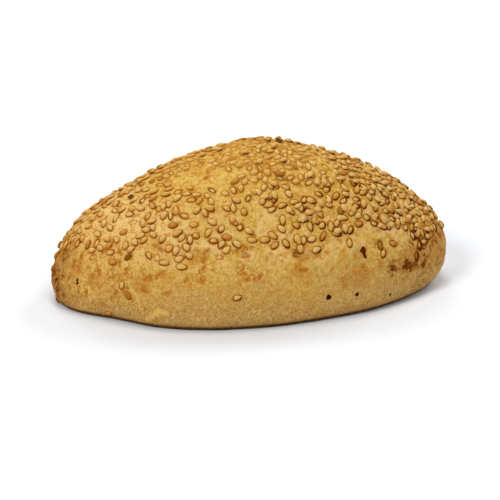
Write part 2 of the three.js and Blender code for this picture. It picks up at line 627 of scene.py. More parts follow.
BARE_PATCHES = (
    Patch(-25, -8.5, 41, 5.5, 0.85),
    Patch(-18, -10.5, 43, 6.5, 0.9),
    Patch(-11, -13, 43, 5.0, 0.85),
    Patch(11, -22.5, 39.5, 4.0, 0.95),
    Patch(16.5, -22, 38.5, 3.4, 0.9),
    Patch(-6, -26, 35.5, 4.0, 0.9),
    Patch(-3.5, -29, 32, 4.5, 0.85),
    Patch(1, -28, 33.5, 3.5, 0.85),
    Patch(17, -4.5, 47, 4.5, 0.85),
    Patch(-31, -25, 29, 4.0, 0.7),
    Patch(-46.5, -11.5, 29, 4.5, 0.75),
    Patch(-40, -15, 31, 3.0, 0.8),
    Patch(5.5, -30, 31, 2.6, 0.8),
    Patch(24.5, -27, 30.5, 2.6, 0.7),
    Patch(20, 22, 34, 6.0, 0.9),
    Patch(-24, 24, 30, 6.0, 0.9),
)


@dataclass(frozen=True)
class Drift:
    """A stretch of the bun's side where seeds reach lower, or less low where the drop is negative."""

    direction: float
    width: float
    drop: float


DRIFTS = (
    Drift(-160, 12, -2.5),
    Drift(-119, 6, 2.8),
    Drift(-79, 4.5, 3.0),
    Drift(-50, 14, -7.0),
    Drift(-16, 12, -3.5),
    Drift(40, 14, 3.0),
    Drift(88, 10, -3.0),
    Drift(128, 12, 2.5),
)


@dataclass(frozen=True)
class SeedFields:
    """How thickly seeds lie on the crust, by place: lengths in millimetres, and shares of full room."""

    # The line below which hardly a seed lies, and the size of the oval that it runs round.
    line: Around = Around(17.8, 15.5, 26.0)
    wobble: float = 3.6
    wobble_size: float = 9.0
    half_length: float = 65.0
    half_width: float = 38.0

    # Seeds on the crust: more of them towards the round end and up, on the top and along the ridge.
    line_edge: Span = (-0.6, 2.2)
    round_end: Span = (-14.0, 22.0)
    round_end_lean: float = 0.35
    round_end_start: float = 10.0
    pointed_end_share: float = 0.42
    round_end_share: float = 0.58
    clustered: Span = (-0.3, 0.2)
    cluster_size: float = 6.0
    loose_share: float = 0.2
    cluster_share: float = 0.9
    top: Span = (37.0, 43.0)
    top_share: float = 0.35
    ridge_front: Span = (-5.0, 2.0)
    ridge_back: Span = (26.0, 16.0)
    ridge_tip: Span = (-64.0, -54.0)
    ridge_start: Span = (14.0, -6.0)
    ridge_loose_share: float = 0.45
    ridge_cluster_share: float = 0.55

    # Seeds on others, of which the peak has few.
    peak: Span = (39.0, 45.0)
    peak_loss: float = 0.85
    heap_end: Span = (-20.0, 25.0)

    # Prints of fallen seeds, in a band at the line.
    print_low: Span = (-12.0, -7.0)
    print_high: Span = (5.0, 0.0)
    print_end: Span = (10.0, -20.0)
    print_round_share: float = 0.2
    print_pointed_share: float = 0.8
    print_clustered: Span = (-0.05, 0.25)
    print_cluster_size: float = 8.0
    print_loose_share: float = 0.12
    print_cluster_share: float = 0.6
    print_bare_share: float = 0.3

    def line_height(self, points: Array) -> Array:
        """Returns the height below which hardly a seed lies, in each point's direction."""
        direction = np.arctan2(points[:, 1] / self.half_width, points[:, 0] / self.half_length)
        height = self.line.at(np.cos(direction), np.sin(direction))
        for drift in DRIFTS:
            offset = (np.degrees(direction) - drift.direction + 180.0) % 360.0 - 180.0
            height -= drift.drop * np.exp(-((offset / drift.width) ** 2))
        return height + self.wobble * noise_field(points, self.wobble_size, 1)

    def bed_room(self, points: Array) -> Array:
        """Returns the room for seeds that lie on the crust, from 0 to 1."""
        x, y, z = points.T
        above = smooth(*self.line_edge, z - self.line_height(points))
        place = x + self.round_end_lean * z - self.round_end_start
        along = self.pointed_end_share + self.round_end_share * smooth(*self.round_end, place)
        clusters = smooth(*self.clustered, noise_field(points, self.cluster_size, 2))
        top = self.top_share * smooth(*self.top, z)
        ridge = smooth(*self.ridge_front, y) * smooth(*self.ridge_back, y) * smooth(*self.ridge_tip, x)
        ridge *= smooth(*self.ridge_start, x)
        ridge *= self.ridge_loose_share + self.ridge_cluster_share * clusters
        all_over = along * (self.loose_share + self.cluster_share * clusters) + top
        room = above * np.minimum(np.maximum(all_over, ridge), 1.0)
        for patch in BARE_PATCHES:
            room *= 1.0 - patch.cover(points)
        return np.clip(room, 0.0, 1.0)

    def heap_room(self, points: Array) -> Array:
        """Returns the room for seeds that lie on other seeds, from 0 to 1."""
        beside_peak = 1.0 - self.peak_loss * smooth(*self.peak, points[:, 2])
        return self.bed_room(points) ** 2 * smooth(*self.heap_end, points[:, 0]) * beside_peak

    def print_room(self, points: Array) -> Array:
        """Returns the room for the prints of seeds that fell off, from 0 to 1."""
        height = points[:, 2] - self.line_height(points)
        band = smooth(*self.print_low, height) * smooth(*self.print_high, height)
        clusters = smooth(*self.print_clustered, noise_field(points, self.print_cluster_size, 6))
        end = smooth(*self.print_end, points[:, 0])
        room = band * (self.print_round_share + self.print_pointed_share * end)
        room *= self.print_loose_share + self.print_cluster_share * clusters
        for patch in BARE_PATCHES:
            room = np.maximum(room, self.print_bare_share * patch.cover(points))
        return room


class Bake(Enum):
    """How far a seed is toasted, as its place on the colour ramp of the seeds."""

    PALE = 0.02
    BUFF = 0.35
    TOASTED = 0.88
    BROWN = 0.93
    DARK = 0.965
    CHARRED = 1.0


@dataclass(frozen=True)
class LoneSeed:
    """A single seed, or the print of one that fell off, at a place in millimetres near the crust."""

    x: float
    y: float
    z: float
    spin: float
    bake: Bake = Bake.BUFF
    lift: float = 0.1


LONE_SEEDS = (
    LoneSeed(-12.1, -38.3, 11.7, 10, Bake.PALE, -0.25),
    LoneSeed(-46.2, -25.7, 13.8, 82, Bake.BUFF, -0.25),
    LoneSeed(-44.6, -27.3, 10.9, 125, Bake.BROWN, 0.0),
    LoneSeed(-49.8, -20.5, 2.6, 20, Bake.TOASTED, -0.2),
    LoneSeed(6.9, -33.2, 0.9, 5, Bake.PALE, 0.0),
    LoneSeed(-63.9, -2.6, 1.5, 60, Bake.DARK, 0.1),
    LoneSeed(9.3, 1.2, 48.9, 5, Bake.CHARRED, 0.55),
    LoneSeed(-39.6, -3.7, 34.9, 0, Bake.CHARRED, 0.1),
    LoneSeed(-32.4, -1.4, 39.0, 15, Bake.BROWN, -0.2),
    LoneSeed(-42.6, -22.3, 24.2, 50, Bake.BUFF, 0.1),
    LoneSeed(-43.8, -23.4, 22.2, 50, Bake.DARK, -0.1),
    LoneSeed(-48.2, -21.3, 19.9, 10, Bake.TOASTED, -0.1),
    LoneSeed(-46.3, -22.2, 20.9, 70, Bake.TOASTED, -0.15),
    LoneSeed(-48.7, -16.9, 23.8, 60, Bake.TOASTED, 0.1),
    LoneSeed(-53.8, -13.2, 21.4, 20, Bake.PALE, 0.0),
    LoneSeed(-64.3, 1.0, 11.0, 80, Bake.BROWN, 0.4),
    LoneSeed(-63.1, 2.6, 14.7, 70, Bake.TOASTED, 0.4),
    LoneSeed(-61.6, 4.4, 17.6, 75, Bake.BROWN, 0.4),
    LoneSeed(36.0, -27.7, 21.6, 100, Bake.BROWN, -0.05),
    LoneSeed(36.9, -28.3, 19.2, 60, Bake.BUFF, -0.2),
    LoneSeed(40.7, -25.6, 21.2, 150, Bake.TOASTED, -0.15),
    LoneSeed(23.9, -28.7, 28.3, 100, Bake.BUFF, -0.2),
    LoneSeed(25.3, -30.5, 24.3, 85, Bake.BUFF, -0.15),
    LoneSeed(29.3, -26.5, 28.9, 0, Bake.TOASTED, -0.1),
    LoneSeed(48.8, -20.1, 21.5, 110, Bake.BUFF, -0.3),
    LoneSeed(52.9, -16.9, 20.9, 140, Bake.BUFF, -0.3),
    LoneSeed(57.9, -14.1, 17.8, 100, Bake.TOASTED, -0.3),
    LoneSeed(51.1, -20.1, 18.1, 60, Bake.BUFF, -0.4),
    LoneSeed(49.5, -22.3, 15.3, 80, Bake.BROWN, -0.4),
    LoneSeed(21.0, 35.0, 10.5, 40),
    LoneSeed(-38.0, 27.0, 12.5, 110, Bake.TOASTED),
)
LONE_PRINTS = (
    LoneSeed(-44.7, -25.2, 18.1, 120),
    LoneSeed(-39.5, -28.3, 18.3, 90),
    LoneSeed(-37.8, -29.7, 17.1, 95),
    LoneSeed(-35.7, -30.4, 17.7, 80),
    LoneSeed(-50.6, -17.7, 21.2, 70),
    LoneSeed(-48.1, -24.6, 10.9, 60),
    LoneSeed(-52.4, -19.5, 15.9, 110),
    LoneSeed(-61.8, -5.4, 15.4, 90),
    LoneSeed(46.2, -24.8, 13.0, 20),
    LoneSeed(40.7, -27.9, 13.7, 150),
    LoneSeed(48.6, -23.5, 12.4, 40),
    LoneSeed(53.0, -19.0, 17.2, 0),
    LoneSeed(52.7, -20.8, 11.7, 60),
    LoneSeed(7.6, -34.4, 23.1, 10),
    LoneSeed(13.7, -34.3, 21.9, 20),
    LoneSeed(-26.5, -29.8, 25.8, 20),
    LoneSeed(-14.6, -31.8, 27.1, 80),
    LoneSeed(30.0, -32.5, 16.5, 120),
)


@dataclass(frozen=True)
class SeedRing:
    """A ring of a seed's vertices, its height in half thicknesses. The crest is 0 at the rim, 1 on top."""

    scale: float
    height: float
    crest: float = 0.0


# The rim, the shoulder, the crown and the belly, which lies under the rim.
SEED_RINGS = (
    SeedRing(1.0, -0.12),
    SeedRing(0.87, 0.5, 0.5),
    SeedRing(0.52, 0.88, 0.85),
    SeedRing(0.72, -0.72),
)
# The taper makes a seed's outline narrower all round, which this factor makes up for.
TAPER_GAIN = 1.12


@dataclass(frozen=True)
class SeedShape:
    """A sesame seed: a flat drop with a round end, a tip, a soft top and a fuller rim."""

    name: str
    length: float = 3.0
    width: float = 2.05
    thickness: float = 0.95
    taper: float = 0.5
    bend: float = 0.0
    sides: int = 12

    @property
    def vertices(self) -> int:
        """Returns how many vertices a seed has."""
        return len(SEED_RINGS) * self.sides + 2

    def build(self) -> bpy.types.Object:
        """Makes the seed flat at the origin, its tip at +X.

        Returns:
            The seed, which isn't linked to the scene.
        """
        angle = np.arange(self.sides) * 2 * math.pi / self.sides
        outline_x = np.cos(angle) * self.length / 2
        narrowing = np.sin(angle / 2) ** self.taper
        outline_y = np.sin(angle) * narrowing * self.width / 2 * TAPER_GAIN
        outline_y += self.bend * np.cos(angle) ** 2
        half = self.thickness / 2
        rings = [np.stack([outline_x * ring.scale, outline_y * ring.scale,
                           np.full_like(angle, half * ring.height)], axis=1) for ring in SEED_RINGS]
        points = np.concatenate(rings + [np.array([[0.0, 0.0, half], [0.0, 0.0, -half]])])
        rim, shoulder, crown, belly = (np.arange(self.sides) + k * self.sides
                                       for k in range(len(SEED_RINGS)))
        top, bottom = len(points) - 2, len(points) - 1
        faces = []
        for i in range(self.sides):
            j = (i + 1) % self.sides
            faces.append((rim[i], rim[j], shoulder[j], shoulder[i]))
            faces.append((shoulder[i], shoulder[j], crown[j], crown[i]))
            faces.append((crown[i], crown[j], top))
            faces.append((belly[i], belly[j], rim[j], rim[i]))
            faces.append((belly[j], belly[i], bottom))
        mesh = bpy.data.meshes.new(self.name)
        mesh.from_pydata((points * MM).tolist(), [], [tuple(int(k) for k in face) for face in faces])
        mesh.shade_smooth()
        crest = np.repeat([ring.crest for ring in SEED_RINGS], self.sides)
        write_attribute(mesh, "crest", np.append(crest, [1.0, 0.0]))
        return bpy.data.objects.new(self.name, mesh)


SEED_SHAPES = (
    SeedShape("seed_a", 2.95, 2.0, 1.1, 0.55),
    SeedShape("seed_b", 2.95, 1.85, 1.05, 0.4, 0.12),
    SeedShape("seed_c", 3.2, 1.95, 1.1, 0.7, -0.1),
    SeedShape("seed_d", 2.8, 2.05, 1.0, 0.5, 0.05),
)


@dataclass(frozen=True)
class Scatter:
    """One strewing of seeds over the crust."""

    room: str
    spacing: float
    crowding: float
    draw: int
    lift_low: float
    lift_high: float
    tilt: float


# The sizes between which seeds are drawn, along, across and up, and the seeds of the random draws.
SMALLEST_SEED: Stretch = (0.9, 0.88, 0.85)
LARGEST_SEED: Stretch = (1.18, 1.14, 1.1)
TURN_DRAW, SIZE_DRAW, SHAPE_DRAW, LIFT_DRAW, TONE_DRAW = range(11, 16)


class SesameTree:
    """The geometry nodes that strew seeds over a surface."""

    def __init__(self, shapes: bpy.types.Collection, finish: bpy.types.Material) -> None:
        """Builds the tree.

        Args:
            shapes: The collection of seed shapes.
            finish: The seeds' material.
        """
        self.tree = bpy.data.node_groups.new("strewn_sesame", "GeometryNodeTree")
        self.inputs: dict[str, str] = {}
        nodes = Nodes(self.tree)
        self._sockets()
        group = nodes.node("NodeGroupInput")
        room = nodes.node("GeometryNodeInputNamedAttribute", {"data_type": "FLOAT"},
                          {"Name": group.twin("Room")})
        spots = nodes.node(
            "GeometryNodeDistributePointsOnFaces",
            {"distribute_method": "POISSON"},
            {"Mesh": group.twin("Surface"), "Distance Min": group.twin("Spacing"),
             "Density Max": group.twin("Crowding"), "Density Factor": room, "Seed": group.twin("Draw")},
        )
        turn = nodes.node(
            "FunctionNodeRandomValue", {"data_type": "FLOAT_VECTOR"},
            {0: (-1.0, -1.0, -math.pi), 1: (1.0, 1.0, math.pi), "Seed": TURN_DRAW},
        )
        lean = nodes.node("ShaderNodeCombineXYZ", {},
                          {"X": group.twin("Tilt"), "Y": group.twin("Tilt"), "Z": 1.0})
        turned = nodes.node("ShaderNodeVectorMath", {"operation": "MULTIPLY"}, {0: turn, 1: lean})
        rotation = nodes.node(
            "FunctionNodeRotateRotation", {"rotation_space": "LOCAL"},
            {"Rotation": spots.twin("Rotation"),
             "Rotate By": nodes.node("FunctionNodeEulerToRotation", {}, {0: turned})},
        )
        size = nodes.node("FunctionNodeRandomValue", {"data_type": "FLOAT_VECTOR"},
                          {0: SMALLEST_SEED, 1: LARGEST_SEED, "Seed": SIZE_DRAW})
        which = nodes.node("FunctionNodeRandomValue", {"data_type": "INT"},
                           {4: 0, 5: len(SEED_SHAPES) - 1, "Seed": SHAPE_DRAW}, out=2)
        kinds = nodes.node("GeometryNodeCollectionInfo", {},
                           {"Collection": shapes, "Separate Children": True, "Reset Children": True})
        seeds = nodes.node(
            "GeometryNodeInstanceOnPoints", {},
            {"Points": spots, "Instance": kinds, "Pick Instance": True, "Instance Index": which,
             "Rotation": rotation, "Scale": size},
        )
        lift = nodes.node("FunctionNodeRandomValue", {"data_type": "FLOAT"},
                          {2: group.twin("Lift Low"), 3: group.twin("Lift High"), "Seed": LIFT_DRAW},
                          out=1)
        rise = nodes.node("ShaderNodeCombineXYZ", {}, {"Z": lift})
        lifted = nodes.node("GeometryNodeTranslateInstances", {},
                            {"Instances": seeds, "Translation": rise, "Local Space": True})
        tone = nodes.node("FunctionNodeRandomValue", {"data_type": "FLOAT"},
                          {3: Bake.BROWN.value, "Seed": TONE_DRAW}, out=1)
        toned = nodes.node(
            "GeometryNodeStoreNamedAttribute", {"data_type": "FLOAT", "domain": "INSTANCE"},
            {"Geometry": lifted, "Name": "tone", "Value": tone},
        )
        real = nodes.node("GeometryNodeRealizeInstances", {}, {"Geometry": toned})
        dressed = nodes.node("GeometryNodeSetMaterial", {}, {"Geometry": real, "Material": finish})
        nodes.node("NodeGroupOutput", {}, {"Seeds": dressed})

    def _sockets(self) -> None:
        """Gives the tree its named inputs and its output."""
        kinds = {
            "Surface": "NodeSocketGeometry", "Room": "NodeSocketString", "Spacing": "NodeSocketFloat",
            "Crowding": "NodeSocketFloat", "Draw": "NodeSocketInt", "Lift Low": "NodeSocketFloat",
            "Lift High": "NodeSocketFloat", "Tilt": "NodeSocketFloat",
        }
        for name, kind in kinds.items():
            socket = self.tree.interface.new_socket(name=name, in_out="INPUT", socket_type=kind)
            self.inputs[name] = socket.identifier
        self.tree.interface.new_socket(name="Seeds", in_out="OUTPUT", socket_type="NodeSocketGeometry")

    def strew(self, surface: bpy.types.Mesh, scatter: Scatter) -> bpy.types.Mesh:
        """Strews seeds over a surface.

        Args:
            surface: The mesh that carries the seeds, with the room for them in an attribute.
            scatter: How the seeds are strewn.

        Returns:
            The seeds, as one plain mesh.
        """
        carrier = bpy.data.objects.new("sesame_carrier", surface)
        link_to_scene(carrier)
        modifier = carrier.modifiers.new("strewn_sesame", "NODES")
        modifier.node_group = self.tree
        values = {
            "Room": scatter.room, "Spacing": scatter.spacing * MM, "Crowding": scatter.crowding / MM**2,
            "Draw": scatter.draw, "Lift Low": scatter.lift_low * MM, "Lift High": scatter.lift_high * MM,
            "Tilt": math.radians(scatter.tilt),
        }
        for name, value in values.items():
            modifier[self.inputs[name]] = value
        evaluated = carrier.evaluated_get(bpy.context.evaluated_depsgraph_get())
        seeds = bpy.data.meshes.new_from_object(evaluated)
        carrier.modifiers.remove(modifier)
        bpy.data.objects.remove(carrier)
        return seeds


# The way painted shadows and painted shade fall on and round each seed: down, a little forwards and to the
# right.
PAINTED_SHADOW_DIRECTION = np.array([0.3, -0.35, -1.0])
# Gaps round a seed are measured no deeper under it and no further from it than this, in millimetres.
DEEPEST_GAP = -0.8
WIDEST_GAP = 3.0


@dataclass(frozen=True)
class Settling:
    """How far seeds are pressed in near the peak, and stand out along the ridge to the pointed end."""

    sink: float = 0.12
    rise: float = 0.22
    peak: Span = (36.0, 45.0)
    ridge_front: Span = (-2.0, 5.0)
    ridge_start: Span = (12.0, 0.0)
    ridge_foot: Span = (16.0, 24.0)


@dataclass
class SeedBatch:
    """Seeds as arrays. A row of points holds one seed's vertices, in millimetres."""

    points: Array
    crest: Array
    tone: Array

    @classmethod
    def of_mesh(cls, mesh: bpy.types.Mesh) -> "SeedBatch":
        """Reads strewn seeds, which follow each other vertex by vertex in their mesh."""
        rows = (-1, SEED_SHAPES[0].vertices)
        return cls(vertex_points(mesh).reshape(*rows, 3), read_attribute(mesh, "crest").reshape(rows),
                   read_attribute(mesh, "tone").reshape(rows)[:, 0])

    @classmethod
    def joined(cls, batches: list["SeedBatch"]) -> "SeedBatch":
        """Puts batches together."""
        return cls(*(np.concatenate([getattr(batch, name) for batch in batches])
                     for name in ("points", "crest", "tone")))

    def __post_init__(self) -> None:
        """Works out each seed's middle, its two axes, and its shade side, where painted shade and a painted
        shadow go.
        """
        sides = SEED_SHAPES[0].sides
        self.rim = self.points[:, :sides]
        tip, tail = self.rim[:, 0], self.rim[:, sides // 2]
        left, right = self.rim[:, sides // 3], self.rim[:, sides - sides // 3]
        self.middle = (tip + tail) / 2
        self.half_length = np.linalg.norm(tip - tail, axis=1) / 2
        self.half_width = np.linalg.norm(left - right, axis=1) / 2
        self.along = (tip - tail) / (2 * self.half_length[:, None])
        self.across = (left - right) / (2 * self.half_width[:, None])
        self.upwards = np.cross(self.along, self.across)
        lee = PAINTED_SHADOW_DIRECTION - self.upwards * (self.upwards @ PAINTED_SHADOW_DIRECTION)[:, None]
        self.lee = lee / np.linalg.norm(lee, axis=1, keepdims=True)
        self.shade_side_reach = np.hypot(self.half_length * (self.lee * self.along).sum(axis=1),
                                  self.half_width * (self.lee * self.across).sum(axis=1))

    def __len__(self) -> int:
        """Returns how many seeds there are."""
        return len(self.points)

    def chosen(self, rows: Array) -> "SeedBatch":
        """Returns some of the seeds."""
        return SeedBatch(self.points[rows], self.crest[rows], self.tone[rows])

    def settled(self, how: Settling) -> "SeedBatch":
        """Returns the seeds, pressed in near the peak and standing out along the ridge.

        Args:
            how: How far, and where.

        Returns:
            The moved seeds.
        """
        x, y, z = self.middle.T
        ridge = smooth(*how.ridge_front, y) * smooth(*how.ridge_start, x) * smooth(*how.ridge_foot, z)
        push = how.rise * ridge - how.sink * smooth(*how.peak, z) * (1.0 - ridge)
        return SeedBatch(self.points + (self.upwards * push[:, None])[:, None], self.crest, self.tone)

    def _gap(self, seed: int | list[int], points: Array, shift: float = 0.0) -> Array:
        """Measures how far points lie outside a seed's outline, negative where they are under it.

        Args:
            seed: The seed's row, or one row for each set of points.
            points: The points.
            shift: How far the outline is moved towards the seed's shade side, where its painted shadow
                falls, in millimetres.

        Returns:
            The gaps.
        """
        offset = points - np.expand_dims(self.middle[seed] + shift * self.lee[seed], -2)
        u = np.einsum("...ij,...j->...i", offset, self.along[seed])
        v = np.einsum("...ij,...j->...i", offset, self.across[seed])
        half_length = np.expand_dims(self.half_length[seed], -1)
        half_width = np.expand_dims(self.half_width[seed], -1)
        reach = np.maximum(np.hypot(u / half_length, v / half_width), 1e-3)
        return np.maximum(np.hypot(u, v) * (1.0 - 1.0 / reach), DEEPEST_GAP)

    def thinned(self, overlap: float) -> "SeedBatch":
        """Drops each seed that would overlap one before it by more than a limit.

        Args:
            overlap: The largest overlap that is kept, in millimetres.

        Returns:
            The seeds that are kept.
        """
        tree = search_tree(self.middle)
        reach = 2.0 * self.half_length.max()
        kept = np.zeros(len(self), dtype=bool)
        for k in range(len(self)):
            near = [i for _, i, _ in tree.find_range(self.middle[k].tolist(), reach) if kept[i]]
            kept[k] = not near or (
                self._gap(near, self.rim[[k]]).min() > -overlap
                and self._gap(k, self.rim[near]).min() > -overlap
            )
        return self.chosen(kept)

    def gaps(self, points: Array, shift: float = 0.0) -> Array:
        """Measures how far points of the crust lie outside the nearest seed's outline.

        Args:
            points: The points.
            shift: How far each outline is moved towards its seed's shade side, where its painted shadow
                falls, in millimetres.

        Returns:
            The gaps, negative under a seed.
        """
        tree = search_tree(points)
        gaps = np.full(len(points), WIDEST_GAP)
        for k in range(len(self)):
            reach = self.half_length[k] + WIDEST_GAP
            near = [i for _, i, _ in tree.find_range(self.middle[k].tolist(), reach)]
            gaps[near] = np.minimum(gaps[near], self._gap(k, points[near], shift))
        return gaps

    def mesh(self, name: str, finish: bpy.types.Material) -> bpy.types.Mesh:
        """Makes one mesh of all the seeds.

        Args:
            name: The mesh's name.
            finish: The seeds' material.

        Returns:
            The mesh.
        """
        template = bpy.data.objects[SEED_SHAPES[0].name].data
        faces = [tuple(polygon.vertices) for polygon in template.polygons]
        count = SEED_SHAPES[0].vertices
        corners = [tuple(i + k * count for i in face) for k in range(len(self)) for face in faces]
        mesh = bpy.data.meshes.new(name)
        mesh.from_pydata((self.points.reshape(-1, 3) * MM).tolist(), [], corners)
        mesh.shade_smooth()
        write_attribute(mesh, "crest", self.crest.ravel())
        write_attribute(mesh, "tone", np.repeat(self.tone, count))
        # How far each vertex lies towards its seed's shade side, for the seeds' painted shade and painted
        # highlight.
        lee = np.einsum("kij,kj->ki", self.points - self.middle[:, None], self.lee)
        write_attribute(mesh, "lee", (lee / self.shade_side_reach[:, None]).ravel())
        mesh.materials.append(finish)
        return mesh


# ---- finishes -----------------------------------------------------------------------------------


@dataclass(frozen=True)
class Surface:
    """What the crust's material reads at each place: lengths in millimetres, and noise."""

    nodes: Nodes
    place: Sock
    along: Sock
    height: Sock
    low: Sock
    broad: Sock
    ragged: Sock

    @classmethod
    def read(cls, nodes: Nodes, low_flank: Span) -> "Surface":
        """Adds the nodes that read each place.

        Args:
            nodes: The material's nodes.
            low_flank: The heights over which the low flank fades in.

        Returns:
            What they read.
        """
        place = nodes.place()
        height = nodes.axis(place, "Z")
        broad = nodes.clouds(place, 14.0) - 0.5
        ragged = (nodes.clouds(place, 0.9, 2.0, 0.6) - 0.5) * 1.4
        return cls(nodes, place, nodes.axis(place, "X"), height, height.eased(*low_flank), broad, ragged)

    def frayed(self, gap: Sock, amount: float = 1.0) -> Sock:
        """Makes the edge that a gap draws ragged."""
        return gap + self.ragged * amount


@dataclass(frozen=True)
class Blotches:
    """Blotches of one size in millimetres, and the values of their noise where they start and are full."""

    size: float
    start: float
    full: float
    detail: float = 3.0
    roughness: float = 0.65
    distortion: float = 0.0
    stretch: Stretch | None = None
    broad_pull: float = 0.0

    def cover(self, surface: Surface) -> Sock:
        """Returns how far the blotches cover each place, 0 to 1."""
        nodes, place = surface.nodes, surface.place
        if self.stretch:
            place = nodes.stretched(place, self.stretch)
        noise_value = nodes.clouds(place, self.size, self.detail, self.roughness, self.distortion)
        if self.broad_pull:
            noise_value += surface.broad * self.broad_pull
        return noise_value.eased(self.start, self.full)


@dataclass(frozen=True)
class Zone:
    """A part of the crust, by the spans in millimetres over which it fades in."""

    above: Span | None = None
    below: Span | None = None
    along: Span | None = None

    def cover(self, surface: Surface) -> Sock:
        """Returns how far the zone covers each place, 0 to 1."""
        spans = ((surface.along, self.along), (surface.height, self.above), (surface.height, self.below))
        masks = [reading.eased(*span) for reading, span in spans if span]
        cover = masks[0]
        for mask in masks[1:]:
            cover *= mask
        return cover


@dataclass(frozen=True)
class Layer:
    """A colour laid over the crust, with its share of the mix, and its share low on the flank."""

    colour: Colour
    share: float
    low_share: float | None = None
    blotches: Blotches | None = None
    zones: tuple[Zone, ...] = ()
    least: float = 0.0

    def lay(self, surface: Surface, colour: Sock) -> Sock:
        """Lays the colour over the crust.

        Args:
            surface: What the material reads at each place.
            colour: The crust's colour so far.

        Returns:
            The crust's colour with this one laid over it.
        """
        cover: Value = self.share
        if self.low_share is not None:
            cover = surface.low * (self.low_share - self.share) + self.share
        if self.blotches:
            cover = self.blotches.cover(surface) * cover + self.least
        if self.zones:
            zone = self.zones[0].cover(surface)
            for other in self.zones[1:]:
                zone = zone.larger(other.cover(surface))
            cover = zone * cover
        return surface.nodes.tint(cover, colour, self.colour)


@dataclass(frozen=True)
class Relief:
    """One layer of fine relief, with its size and its height in millimetres."""

    size: float
    height: float
    detail: float = 2.0
    roughness: float = 0.5


